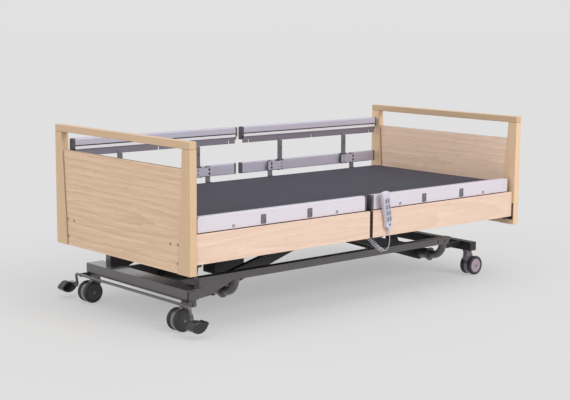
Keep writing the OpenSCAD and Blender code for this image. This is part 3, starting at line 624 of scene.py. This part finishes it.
def make_brackets():
    """Steel angles that hold the side panels to the boards, under the upper frame's tubes."""
    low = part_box("board_fixings")[0].z
    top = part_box("control_box")[1].z
    panel_lo, panel_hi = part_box("side_panels_near")
    inner = panel_hi.y
    outline = [(inner, low), (inner + ANGLE_T, low), (inner + ANGLE_T, top - ANGLE_FOOT),
               (-ANGLE_REACH, top - ANGLE_FOOT), (-ANGLE_REACH, top), (inner, top)]
    for end, side in ENDS:
        near_x = side * (abs(panel_lo.x) - ANGLE_W - ANGLE_CLEAR)
        x0, x1 = sorted((near_x, near_x + side * ANGLE_W))
        for word in ("near", "far"):
            angle = prism(f"{end}_angle_{word}", mirrored(outline, word == "far"), "x", x0, x1, "black_steel", 0.0006)
            belongs(angle, "upper_frame", ["board_fixings"])


for end_name, end_side in ENDS:
    make_board(end_name, end_side)
make_brackets()


# ---------- side panels ----------

EDGE_BAND_T, BAND_SHY, PANEL_GAP = 0.0012, 0.0004, 0.018


def make_side_panels():
    for word in ("near", "far"):
        lo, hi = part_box(f"side_panels_{word}")
        for end, x0, x1 in (("foot", lo.x, -PANEL_GAP / 2), ("head", PANEL_GAP / 2, hi.x)):
            main = box(f"side_panel_{end}_{word}", (x0 + EDGE_BAND_T, lo.y, lo.z), (x1 - EDGE_BAND_T, hi.y, hi.z),
                       f"oak_{word}", 0.0012, 3)
            belongs(main, "upper_frame", [f"side_panels_{word}"])
            # Bands that face the gap between the two panels take the very dark wood as painted shade; the outer bands
            # take the edge band.
            for where, a, b in (("a", x0, x0 + EDGE_BAND_T), ("b", x1 - EDGE_BAND_T, x1)):
                band = box(f"side_band_{end}_{word}_{where}", (a, lo.y + BAND_SHY, lo.z + BAND_SHY),
                           (b, hi.y - BAND_SHY, hi.z - BAND_SHY), "groove" if abs(a) < PANEL_GAP else "edge_band",
                           0.0004)
                belongs(band, "upper_frame")


make_side_panels()


# ---------- side rails ----------
# t runs inward from a rail's outer face and h up from its underside, in millimetres as in the design.

RAIL_L, RAIL_GAP, RAIL_H, RAIL_T, CAP_L, SKIN_T, LIP_H = 998, 32, 86, 33.5, 12, 2.5, 17.5
RAIL_FACES = ((33, 2), (48.5, 1), (53.5, 3))  # below this height a face of the core has this material
CORE = [(SKIN_T, LIP_H), (SKIN_T, 84), (6, RAIL_H), (27.5, RAIL_H), (31.5, 84), (RAIL_T, 80), (RAIL_T, 54),
        (29.5, 52.5), (29.5, 49.5), (32, 48), (32, 34), (27, 31), (27, 17), (19, 17), (19, LIP_H)]
FLANGE_SLOTS, FLANGE_H = (-448, 0, 448), 17
SKIN = [(SKIN_T, LIP_H), (0.5, LIP_H), (0, LIP_H + 1), (0, 24), (0.7, 24.6), (0.7, 25.6), (0, 26.2), (0, 74),
        (0.7, 74.6), (0.7, 75.8), (0, 76.4), (0, 83.5), (1.0, RAIL_H - 0.6), (SKIN_T, RAIL_H)]
RAIL_CAP = [(0.8, LIP_H), (0.8, 80), (6, RAIL_H), (27.5, RAIL_H), (31.5, 84), (RAIL_T, 80), (RAIL_T, 38),
            (24, 33), (20, LIP_H)]
KNOB = [(0, 0.0034), (0.0035, 0.0033), (0.0052, 0.0028), (0.006, 0.0016), (0.006, -0.001)]
POST_X, SLEEVE_X, CLIP_X, HOOK_X, KNOB_UP = 237, 304, 137, 305, 77
CORNER_R, SKIN_SHORT = 12, 13


class RailPlace:
    """Turns a rail's own places into the row frame for one of the four segments."""

    def __init__(self, end, far, underside):
        self.mid = (1 if end == "head" else -1) * (RAIL_L + RAIL_GAP) / 2
        self.far = far == "far"
        self.z0 = underside

    def y(self, t):
        outer = abs(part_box("lower_rail_foot_near")[0].y) / MM
        return (outer - t if self.far else t - outer) * MM

    def outline(self, points):
        return [(self.y(t), self.z0 + h * MM) for t, h in points]

    def prism(self, name, points, s0, s1, *finish):
        """A bar with an outline across the rail (t, h), from s0 to s1. finish is its material, bevel and segments."""
        return prism(name, self.outline(points), "x", (self.mid + s0) * MM, (self.mid + s1) * MM, *finish)

    def plate(self, name, outline, t0, t1, *finish):
        """A plate with an outline along the rail (s, h), from t0 to t1."""
        points = [((self.mid + s) * MM, self.z0 + h * MM) for s, h in outline]
        return prism(name, points, "y", *sorted((self.y(t0), self.y(t1))), *finish)

    def block(self, name, s, t, h, *finish):
        return self.prism(name, [(t[0], h[0]), (t[1], h[0]), (t[1], h[1]), (t[0], h[1])], *s, *finish)

    def dome(self, name, profile, s, t, h, material, steps):
        """A turned piece whose top faces inward, at (s, t, h)."""
        at = ((self.mid + s) * MM, self.y(t), self.z0 + h * MM)
        return lathe(name, facing(profile, -1 if self.far else 1), "y", at, material, steps)


def round_skin_corners(piece, place, ends):
    """Cuts the two upper corners of a rail's skin to a quarter circle."""
    bm = bmesh.new()
    bm.from_mesh(piece.data)
    for side, end in zip((-1, 1), ends):
        centre = Vector(((place.mid + end - side * CORNER_R) * MM, 0, place.z0 + (RAIL_H - CORNER_R) * MM))
        for step in range(1, 9):
            angle = radians(step * 10)
            normal = Vector((side * cos(angle), 0, sin(angle)))
            geometry = bm.verts[:] + bm.edges[:] + bm.faces[:]
            cut = bmesh.ops.bisect_plane(bm, geom=geometry, plane_co=centre + normal * CORNER_R * MM,
                                         plane_no=normal, clear_outer=True)
            edges = [e for e in cut["geom_cut"] if isinstance(e, bmesh.types.BMEdge)]
            if edges:
                bmesh.ops.contextual_create(bm, geom=edges)
    bmesh.ops.recalc_face_normals(bm, faces=bm.faces[:])
    bm.to_mesh(piece.data)
    bm.free()


def make_upper_rail(end, far):
    seg = f"{end}_{far}"
    body, posts = f"upper_rail_{seg}", f"rail_posts_{seg}"
    place = RailPlace(end, far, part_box(body)[1].z - RAIL_H * MM)
    inner = RAIL_L / 2 - CAP_L
    core = place.prism(f"rail_core_{seg}", CORE, -inner, inner,
                       ["rail_grey", "rail_bright", "rail_flange", "rail_groove"], 0.0004)
    # The core's faces take rail_grey unless RAIL_FACES says otherwise, darker than the skin's rail_light: painted
    # shade on the inner side.
    for face in core.data.polygons:
        h = (face.center.z - place.z0) / MM
        face.material_index = next((index for below, index in RAIL_FACES if h < below), 0)
    pieces = [core]
    stops = [-inner] + [s + d for s in FLANGE_SLOTS for d in (-5, 5)] + [inner]
    for i in range(0, len(stops), 2):
        pieces.append(place.block(f"rail_flange_{seg}_{i // 2}", (stops[i], stops[i + 1]), (19, 27),
                                  (0, FLANGE_H), "rail_flange", 0.0006))
    toward_middle = -1 if end == "head" else 1
    ends = sorted((-toward_middle * RAIL_L / 2, toward_middle * (RAIL_L / 2 - SKIN_SHORT)))
    skin = place.prism(f"rail_skin_{seg}", SKIN, *ends, "rail_light")
    round_skin_corners(skin, place, ends)
    for piece in pieces + [skin]:
        belongs(piece, body, [body])

    drop = (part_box(posts)[0].z - place.z0) / MM
    for word, side in PAIR:
        tag = f"{seg}_{word}"
        post, clip, hook = side * POST_X, side * CLIP_X, side * HOOK_X
        eyelet = arc((hook, 31), 6, 0, 180, 8) + [(hook - 6, 23), (hook - 3.4, 23)] + arc(
            (hook, 30.5), 3.4, 180, 0, 8) + [(hook + 3.4, 23), (hook + 6, 23)]
        for piece in (
                place.prism(f"rail_cap_{tag}", RAIL_CAP, *sorted((side * inner, side * RAIL_L / 2)), "rail_cap",
                            0.0012, 3),
                place.block(f"rail_post_{tag}", (post - 13, post + 13), (27, 39), (drop, 0), "post_steel", 0.0022, 3),
                place.block(f"rail_shoe_{tag}", (post - 8, post + 8), (26.5, 33), (-0.5, 13), "rail_flange", 0.001),
                place.dome(f"rail_knob_{tag}", KNOB, post, 39, drop + KNOB_UP, "rail_cap", 24),
                place.plate(f"rail_clip_{tag}", rounded((clip - 15, 21), (clip + 15, 64), 4), -1.2, 0, "rail_clip",
                            0.0005),
                place.plate(f"rail_latch_{tag}", rounded((clip - 10, 25), (clip + 4, 60), 3), -2.4, -1.0,
                            "rail_clip", 0.0007),
                place.plate(f"rail_hook_{tag}", rounded((clip + 6, 27), (clip + 12, 44), 2.5), -2.4, -1.0,
                            "rail_cap", 0.0006),
                place.plate(f"rail_eyelet_{tag}", eyelet, -1.8, 0, "rail_clip", 0.0004)):
            belongs(piece, body, [posts])


LOWER_T, LOWER_H, LOWER_CAP, LOWER_TOP = 22, 58, 12, 60
PLATE_X, BOLT_X, PLATE_T = 270, 232, (43, 45)
BOLT = [(0, 0.0022), (0.0018, 0.0022), (0.0018, 0.0012), (0.0028, 0.0022), (0.0035, 0.001), (0.0035, -0.001)]
COLLAR = (((-18, -13.5), (LOWER_T, 43)), ((13.5, 18), (LOWER_T, 43)), ((-18, -7), (39.5, 43)), ((7, 18), (39.5, 43)))


def make_lower_rail(end, far):
    seg = f"{end}_{far}"
    body = f"lower_rail_{seg}"
    lo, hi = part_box(body)
    place = RailPlace(end, far, hi.z - LOWER_TOP * MM)
    half = RAIL_L / 2
    tube_outline = rounded((0, 0), (LOWER_T, LOWER_H), 5)
    pieces = [place.prism(f"low_tube_{seg}", tube_outline, -half + LOWER_CAP, half - LOWER_CAP, "rail_grey")]
    guide_low = (lo.z - place.z0) / MM
    for word, side in PAIR:
        tag = f"{seg}_{word}"
        post, sleeve, plate = side * POST_X, side * SLEEVE_X, side * PLATE_X
        pieces.append(place.prism(f"low_cap_{tag}", tube_outline, *sorted((side * (half - LOWER_CAP), side * half)),
                                  "lower_cap", 0.001, 3))
        pieces.append(place.plate(f"low_plate_{tag}", rounded((plate - 56, 8), (plate + 56, 52), 4), *PLATE_T,
                                  "rail_grey", 0.0005))
        for i, h in enumerate((20, 41)):
            oval = rounded((sleeve - 6, h - 7), (sleeve + 6, h + 7), 5.5)
            pieces.append(place.plate(f"low_oval_{tag}_{i}", oval, PLATE_T[1] - 1, PLATE_T[1] + 0.4, "hub_dark",
                                      0.0003))
        pieces.append(place.block(f"low_guide_{tag}", (sleeve - 10, sleeve + 10), (LOWER_T, 39),
                                  (guide_low, LOWER_H), "rail_flange", 0.0015))
        for i, (s, t) in enumerate(COLLAR):
            pieces.append(place.block(f"low_collar_{tag}_{i}", (post + s[0], post + s[1]), t, (2, LOWER_TOP),
                                      "rail_cap", 0.0008))
        for i, h in enumerate((20, 40)):
            pieces.append(place.dome(f"low_bolt_{tag}_{i}", BOLT, side * BOLT_X, PLATE_T[1], h, "hub_dark", 20))
    for piece in pieces:
        belongs(piece, body, [body])


for end_name in ("foot", "head"):
    for far_name in ("near", "far"):
        make_upper_rail(end_name, far_name)
        make_lower_rail(end_name, far_name)


# ---------- mattress ----------

INSET, VOXEL, MOST_MOVE, LOOSE, OFF_DECK = 0.004, 0.016, 0.006, 0.004, 0.0005
CORNER_ROUND, RIM_ROUND = 0.035, 0.014
HINGE_LIFTS, LIFT, LIFT_LAYER = ((0.22, 0.10), (0.0, 0.06)), 0.010, 0.03
CUT_BACK, CUT_CALF, BEND_Z = 0.11, -0.17, 0.4


def mattress_block():
    """One closed block the size of all four CAD pieces, with rounded edges and corners."""
    boxes = [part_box(f"mattress_{part}") for part in ("back", "seat", "thigh", "calf")]
    lo = Vector([min(b[0][i] for b in boxes) for i in range(3)])
    hi = Vector([max(b[1][i] for b in boxes) for i in range(3)])
    bm = bmesh.new()
    outline = rounded((lo.x + INSET, lo.y + INSET), (hi.x - INSET, hi.y - INSET), CORNER_ROUND, 6)
    add_prism(bm, outline, "z", lo.z + OFF_DECK, hi.z - INSET)
    rims = [e for e in bm.edges if abs(e.verts[0].co.z - e.verts[1].co.z) < 1e-6]
    bmesh.ops.bevel(bm, geom=rims, offset=RIM_ROUND, segments=5, affect="EDGES", profile=0.5)
    return from_bmesh("mattress_whole", bm, "cover"), lo, hi


def cloth_run(piece):
    """Swells the piece by cloth pressure and caps how far each point may move."""
    remesh = piece.modifiers.new("remesh", "REMESH")
    remesh.mode, remesh.voxel_size, remesh.use_smooth_shade = "VOXEL", VOXEL, True
    bpy.context.view_layer.objects.active = piece
    bpy.ops.object.modifier_apply(modifier="remesh")
    start = [v.co.copy() for v in piece.data.vertices]
    cloth = piece.modifiers.new("cloth", "CLOTH")
    settings = cloth.settings
    settings.quality, settings.mass = 5, 0.3
    settings.tension_stiffness = settings.compression_stiffness = 20
    settings.bending_stiffness = 4
    settings.use_pressure, settings.uniform_pressure_force = True, 4
    settings.effector_weights.gravity = 0
    cloth.collision_settings.use_collision = False
    scene.frame_start, scene.frame_end = 1, 20
    for frame_number in range(1, 21):
        scene.frame_set(frame_number)
    bpy.ops.object.modifier_apply(modifier="cloth")
    for vertex, was in zip(piece.data.vertices, start):
        step = vertex.co - was
        if step.length > MOST_MOVE:
            vertex.co = was + step * (MOST_MOVE / step.length)
    scene.frame_set(1)


def settle(piece, lo, hi):
    """Rests the underside flat on the deck, and lifts it a little over each hinge."""
    low = lo.z + OFF_DECK
    for vertex in piece.data.vertices:
        co = vertex.co
        co.z = max(co.z, low)
        if co.z < low + LIFT_LAYER:
            for hinge, wide in HINGE_LIFTS:
                near = max(0.0, 1 - abs(co.x - hinge) / wide)
                co.z += LIFT * near * near * (1 - (co.z - low) / LIFT_LAYER)
        co.y = max(lo.y - LOOSE, min(hi.y + LOOSE, co.y))
        co.x = max(lo.x - LOOSE, min(hi.x + LOOSE, co.x))


def mattress_part(whole, name, x0, x1):
    """The stretch of the whole mattress between two planes, closed where it was cut."""
    bm = bmesh.new()
    bm.from_mesh(whole.data)
    for x, direction in ((x0, -1), (x1, 1)):
        if x is None:
            continue
        geometry = bm.verts[:] + bm.edges[:] + bm.faces[:]
        cut = bmesh.ops.bisect_plane(bm, geom=geometry, dist=1e-5, plane_co=(x, 0, 0),
                                     plane_no=(direction, 0, 0), clear_outer=True)
        edges = [e for e in cut["geom_cut"] if isinstance(e, bmesh.types.BMEdge)]
        for face in bmesh.ops.contextual_create(bm, geom=edges)["faces"]:
            for edge in face.edges:
                edge.smooth = False
    piece = from_bmesh(name, bm, "cover")
    rest = piece.data.attributes.new(REST, "FLOAT_VECTOR", "POINT")
    rest.data.foreach_set("vector", [c for v in piece.data.vertices for c in v.co])
    return piece


def make_mattress():
    whole, lo, hi = mattress_block()
    cloth_run(whole)
    settle(whole, lo, hi)
    smooth = whole.modifiers.new("smooth", "SUBSURF")
    smooth.levels = smooth.render_levels = 1
    bpy.context.view_layer.objects.active = whole
    bpy.ops.object.modifier_apply(modifier="smooth")
    parts = (("head", CUT_BACK, None, "upper_frame", "backrest", 0.11, 0.33, ["mattress_back"]),
             ("middle", CUT_CALF, CUT_BACK, "upper_frame", "thigh_rest", 0.08, -0.08,
              ["mattress_seat", "mattress_thigh"]),
             ("foot", None, CUT_CALF, "thigh_rest", "calf_rest", -0.25, -0.43, ["mattress_calf"]))
    for word, x0, x1, a, b, start, end, replaced in parts:
        piece = mattress_part(whole, f"mattress_{word}_part", x0, x1)
        piece.data.set_sharp_from_angle(angle=radians(180))
        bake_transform(piece)
        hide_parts(*replaced)
    bpy.data.objects.remove(whole)


make_mattress()


# ---------- base, lift, deck and drives ----------

for paint, slot_name, width, rounds, node_names in (
        ("base_steel", "dark_steel", 0.0018, 3, ("base_side_tubes", "foot_cross_beam")),
        # The head cross beam takes the near-black steel instead of the foot beam's base_steel: painted shade on its
        # shadowed face.
        ("black_steel", "dark_steel", 0.0018, 3, ("head_cross_beam",)),
        ("base_steel", "dark_steel", 0.0008, 2, ("lift_pivot_tubes",)),
        ("black_steel", "black_steel", 0.0012, 2, ("foot_lift_arms", "head_lift_arms", "upper_frame")),
        ("deck_steel", "dark_steel", 0.0008, 2, ("seat_deck", "back_deck", "thigh_deck", "calf_deck")),
        ("housing", "housing_plastic", 0.004, 4, ("lift_motor", "back_motor", "leg_motor", "control_box")),
        ("rod_chrome", "rod_steel", 0.0008, 2, ("lift_rod", "back_rod", "leg_rod"))):
    for node_name in node_names:
        keep(node_name, paint, slot_name, width, rounds)


# ---------- casters ----------

WHEEL_W, WHEEL_OFFSET = 0.022, 0.014
TYRE = [(36, -9.4), (42, -11), (45.6, -10.6), (48.2, -8.8), (49.6, -6), (50, -3), (50, 3), (49.6, 6), (48.2, 8.8),
        (45.6, 10.6), (42, 11), (40.2, 10.4), (39.4, 9), (36, 9), (36, -9.4)]
RIM = [(34.5, 8.2), (35.6, 9.6), (38.6, 9.8), (39.4, 9), (38.8, 7.6), (34.5, 8.2)]
HUB = [(0, 10.2), (7.5, 10.2), (8.6, 9.5), (9.4, 9.0), (21, 9.2), (22, 8.7), (30, 8.5), (34.5, 8.2), (36, 8),
       (36, -8.6), (20, -8.2), (18.5, -10.6), (12, -10.8), (6.2, -10.6), (6.2, -10)]


def make_wheels(end, word):
    name = f"caster_wheels_{end}_{word}"
    lo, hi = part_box(name)
    centre = (lo + hi) / 2
    hub, rim = ("hub_grey", "rim_light") if end == "head" else ("hub_dark", "hub_dark")
    for which, side in PAIR:
        at = (centre.x, centre.y + side * (WHEEL_OFFSET + WHEEL_W / 2), centre.z)
        bm = bmesh.new()
        for profile, index in ((TYRE, 0), (HUB, 1), (RIM, 2)):
            add_lathe(bm, [(r * MM, a * MM) for r, a in facing(profile, side)], "y", at, 64, index)
        piece = soften(from_bmesh(f"wheel_{end}_{word}_{which}", bm, ["tyre", hub, rim]), 0.0)
        belongs(piece, f"wheels_{end}_{word}", [name])


for end_name in ("foot", "head"):
    for far_name in ("near", "far"):
        make_wheels(end_name, far_name)
        keep(f"caster_fork_{end_name}_{far_name}", "fork_steel", "dark_steel", 0.0018, 3)


# ---------- brake ----------

BAR_R, BAR_TURN = 6.5 * MM, 0.017
BRAKE_AXIS, BAR, PIN = (-0.969, 0.121), (-1.022, 0.125), (-1.012, 0.062)
LINK_Y, PEDAL_IN, PEDAL_OUT, CRANK_IN, CRANK_OUT = 0.455, 0.494, 0.544, 0.408, 0.416
PEDAL_BOSS = [(0.0, -0.001), (0.0105, -0.001), (0.0118, 0.0005), (0.0118, 0.0035), (0.0105, 0.005), (0.0, 0.005)]
RIB_AT, RIB_REACH, RIB_R, RIB_SPAN = (-1.036, 0.052), 0.0268, 0.0014, (0.503, 0.519, 0.535)


def bent(points, radius, steps=6):
    """A polyline with its corners rounded off."""
    points = [Vector(p) for p in points]
    line = [points[0]]
    for before, corner, after in zip(points, points[1:], points[2:]):
        a = corner + (before - corner).normalized() * radius
        b = corner + (after - corner).normalized() * radius
        for i in range(steps + 1):
            t = i / steps
            line.append(a * (1 - t) ** 2 + corner * 2 * t * (1 - t) + b * t * t)
    return line + [points[-1]]


def pedal_outline():
    """Side view of a rocking pedal: a toe cap towards the foot end and a tread behind it."""
    toe = [(-1074.0, 46), (-1070, 57)]
    dome = arc((-1036, 52), 27, 140, 60, 8)
    tread = [(-1008, 72), (-990, 74), (-983, 66)]
    belly = arc((-1034, 74), 48, -25, -140, 10)
    return [(x * MM, z * MM) for x, z in toe + dome + tread + belly]


def make_brake():
    """The bar with its cranks, then at each side a pedal with its boss and six ribs on the tread."""
    half = [(BAR[0], 0, BAR[1]), (BAR[0], LINK_Y, BAR[1]), (PIN[0], LINK_Y, PIN[1]),
            (PIN[0], PEDAL_IN + 0.004, PIN[1])]
    whole = [(x, -y, z) for x, y, z in half[:0:-1]] + half[1:]
    bar = tube("brake_rod", bent(whole, BAR_TURN), BAR_R, "brake_steel", 6)
    belongs(bar, "brake", ["brake_bar"])
    outline = arc(BRAKE_AXIS, 0.013, -80, 80, 8) + arc((BAR[0], BAR[1] - 0.001), 0.0085, 100, 260, 8)
    for word, side in SIDES:
        y0, y1 = sorted((side * CRANK_IN, side * CRANK_OUT))
        crank = prism(f"brake_crank_{word}", outline, "y", y0, y1, "base_steel", 0.001)
        belongs(crank, "brake")
    for word, side in SIDES:
        y0, y1 = sorted((side * PEDAL_IN, side * PEDAL_OUT))
        pedal = prism(f"pedal_{word}", pedal_outline(), "y", y0, y1, "pedal", 0.008, 5)
        belongs(pedal, "brake", ["brake_pedals"])
        ring = lathe(f"pedal_boss_{word}", facing(PEDAL_BOSS, -side), "y", (PIN[0], side * PEDAL_IN, PIN[1]),
                     "pedal", 28)
        belongs(ring, "brake")
        for i in range(6):
            angle = radians(125 - 11 * i)
            x, z = RIB_AT[0] + RIB_REACH * cos(angle), RIB_AT[1] + RIB_REACH * sin(angle)
            rib = tube(f"pedal_rib_{word}_{i}", [(x, side * y, z) for y in RIB_SPAN], RIB_R, "pedal", 3)
            belongs(rib, "brake")


make_brake()


# ---------- hand control ----------

HAND_TOP, HAND_TILT = (0.072, -0.531, 0.534), -10
HAND_L, HAND_HALF, HAND_FOOT, HAND_T = 0.178, 0.024, 0.0145, 0.023
KEY_FIRST, KEY_PITCH, KEY_HALF = 0.046, 0.029, 0.0155
LAMP = [(0, -0.0016), (0.0012, -0.0013), (0.0018, 0.0)]
LED = [(0, -0.0018), (0.0012, -0.0014), (0.0018, 0.0)]
LOCK = [(0, -0.0022), (0.0045, -0.0020), (0.0056, -0.0010), (0.006, 0.001)]
KEY_DOME = [(0, -0.0030), (0.0027, -0.0028), (0.0040, -0.0022), (0.0045, -0.0012), (0.0045, -0.0006)]
HAND = Matrix.Translation(HAND_TOP) @ Matrix.Rotation(radians(HAND_TILT), 4, "Y")


def in_hand(piece, body, replaces=()):
    piece.data.transform(HAND)
    return belongs(piece, body, replaces)


def hand_outline():
    """Front view of the hand control: round shoulders, a slow taper and a rounded foot."""
    right = arc((HAND_HALF - 0.013, -0.013), 0.013, 90, 0, 6)
    right += [(HAND_HALF - 0.0045, -HAND_L + 0.036)]
    right += arc((HAND_FOOT - 0.006, -HAND_L + 0.012), 0.012, 0, -90, 6)
    return right + [(-u, v) for u, v in right[::-1]]


def relief_profile():
    """The ribbed boot where the lead leaves the handset."""
    profile = [(0.0, -HAND_L + 0.004), (0.0080, -HAND_L + 0.002)]
    for i in range(7):
        top, radius = -HAND_L - 0.001 - i * 0.0046, 0.0078 - i * 0.00062
        profile += [(radius, top), (radius - 0.0001, top - 0.0028), (radius - 0.0013, top - 0.0030),
                    (radius - 0.0014, top - 0.0044)]
    return profile + [(0.0030, -HAND_L - 0.0338), (0.0, -HAND_L - 0.034)]


def make_handset():
    """The shell, then its keypad, bed hook, strain relief, lock, three lamps and a power light."""
    front, back = -HAND_T / 2, HAND_T / 2
    shell = prism("handset_shell", hand_outline(), "y", front, back, "handset", 0.0058, 5)
    in_hand(shell, "upper_frame", ["handset"])
    hook = [(back - 0.002, -0.029), (back + 0.010, -0.029), (back + 0.010, -0.042), (back + 0.007, -0.042),
            (back + 0.007, -0.034), (back - 0.002, -0.034)]
    details = [
        prism("handset_pad", rounded((-0.0172, -0.150), (0.0172, -0.030), 0.006, 6), "y", front - 0.0007,
              front + 0.002, "keypad", 0.0005),
        prism("handset_hook", hook, "x", -0.016, 0.016, "handset", 0.0008),
        lathe("handset_relief", relief_profile(), "z", (0, 0, 0), "handset", 24),
        lathe("handset_lock", LOCK, "y", (0, front, -0.161), "key", 28)]
    for i in range(3):
        details.append(lathe(f"handset_lamp_{i}", LAMP, "y",
                             (0, front - 0.0004, -KEY_FIRST - (i + 0.5) * KEY_PITCH), "key_mark", 12))
    details.append(lathe("handset_led", LED, "y", (0, front - 0.0004, -0.0335), "led", 12))
    for piece in details:
        in_hand(piece, "upper_frame")


def make_key(index, name):
    """A rocker plate with four domed keys, each with a generic arrow."""
    z, front = -KEY_FIRST - index * KEY_PITCH, -HAND_T / 2
    bm = bmesh.new()
    add_prism(bm, rounded((-KEY_HALF, z - 0.0096), (KEY_HALF, z + 0.0096), 0.004, 5), "y", front - 0.0012,
              front + 0.0006, 2)
    for side in (-1, 1):
        for row in (-1, 1):
            x, up = side * 0.0078, z + row * 0.0047
            add_lathe(bm, KEY_DOME, "y", (x, front, up), 24)
            mark = [(x - 0.0014, up - row * 0.0008), (x + 0.0014, up - row * 0.0008), (x, up + row * 0.0014)]
            add_prism(bm, mark, "y", front - 0.0032, front - 0.0026, 1)
    rocker = soften(from_bmesh(f"rocker_{name}", bm, ["key", "key_mark", "keypad"]), 0.0)
    in_hand(rocker, name, [name])


make_handset()
for key_index, key_name in enumerate(("key_back", "key_thigh", "key_height", "key_auto")):
    make_key(key_index, key_name)


# ---------- stage ----------

BACKDROP, FLOOR_PAINT, FLOOR_TONES, FLOOR_GLOW, FLOOR_HALF = 0.752, 0.30, 0.004, 0.385, 60


def sun(name, toward, strength, softness, color=(1, 1, 1)):
    """A far, soft light that shines along a direction."""
    data = bpy.data.lights.new(name, "SUN")
    data.energy, data.angle, data.color = strength, radians(softness), color
    lamp = linked(name, data)
    lamp.rotation_mode = "QUATERNION"
    lamp.rotation_quaternion = Vector(toward).to_track_quat("-Z", "Y")


def make_stage():
    scene.view_settings.view_transform = "Standard"
    scene.world = bpy.data.worlds.new("studio")
    scene.world.use_nodes = True
    scene.world.node_tree.nodes["Background"].inputs[0].default_value = rgba([BACKDROP] * 3)
    bm = bmesh.new()
    corners = ((-1, -1), (1, -1), (1, 1), (-1, 1))
    bm.faces.new([bm.verts.new((x * FLOOR_HALF, y * FLOOR_HALF, 0)) for x, y in corners])
    mesh = bpy.data.meshes.new("floor")
    bm.to_mesh(mesh)
    bm.free()
    paint, tree, principled = shader("floor_paint", [FLOOR_PAINT] * 3, 0.95, specular_ior_level=0.0,
                                     emission_strength=FLOOR_GLOW)
    principled.inputs["Emission Color"].default_value = rgba([1] * 3)
    cloud = noise(tree, coordinates(tree), 0.4, 3.0)
    feed(principled, "Base Color", mixed(tree, cloud, rgba([FLOOR_PAINT - FLOOR_TONES] * 3),
                                         rgba([FLOOR_PAINT + FLOOR_TONES] * 3)))
    mesh.materials.append(paint)
    linked("floor", mesh)
    sun("key", (-0.25, 1.0, -0.62), 1.38, 30, (0.97, 0.96, 0.98))
    sun("side", (1.0, 0.1, -0.5), 0.45, 45)
    sun("top", (0.0, 0.1, -1.0), 0.55, 60)


make_stage()
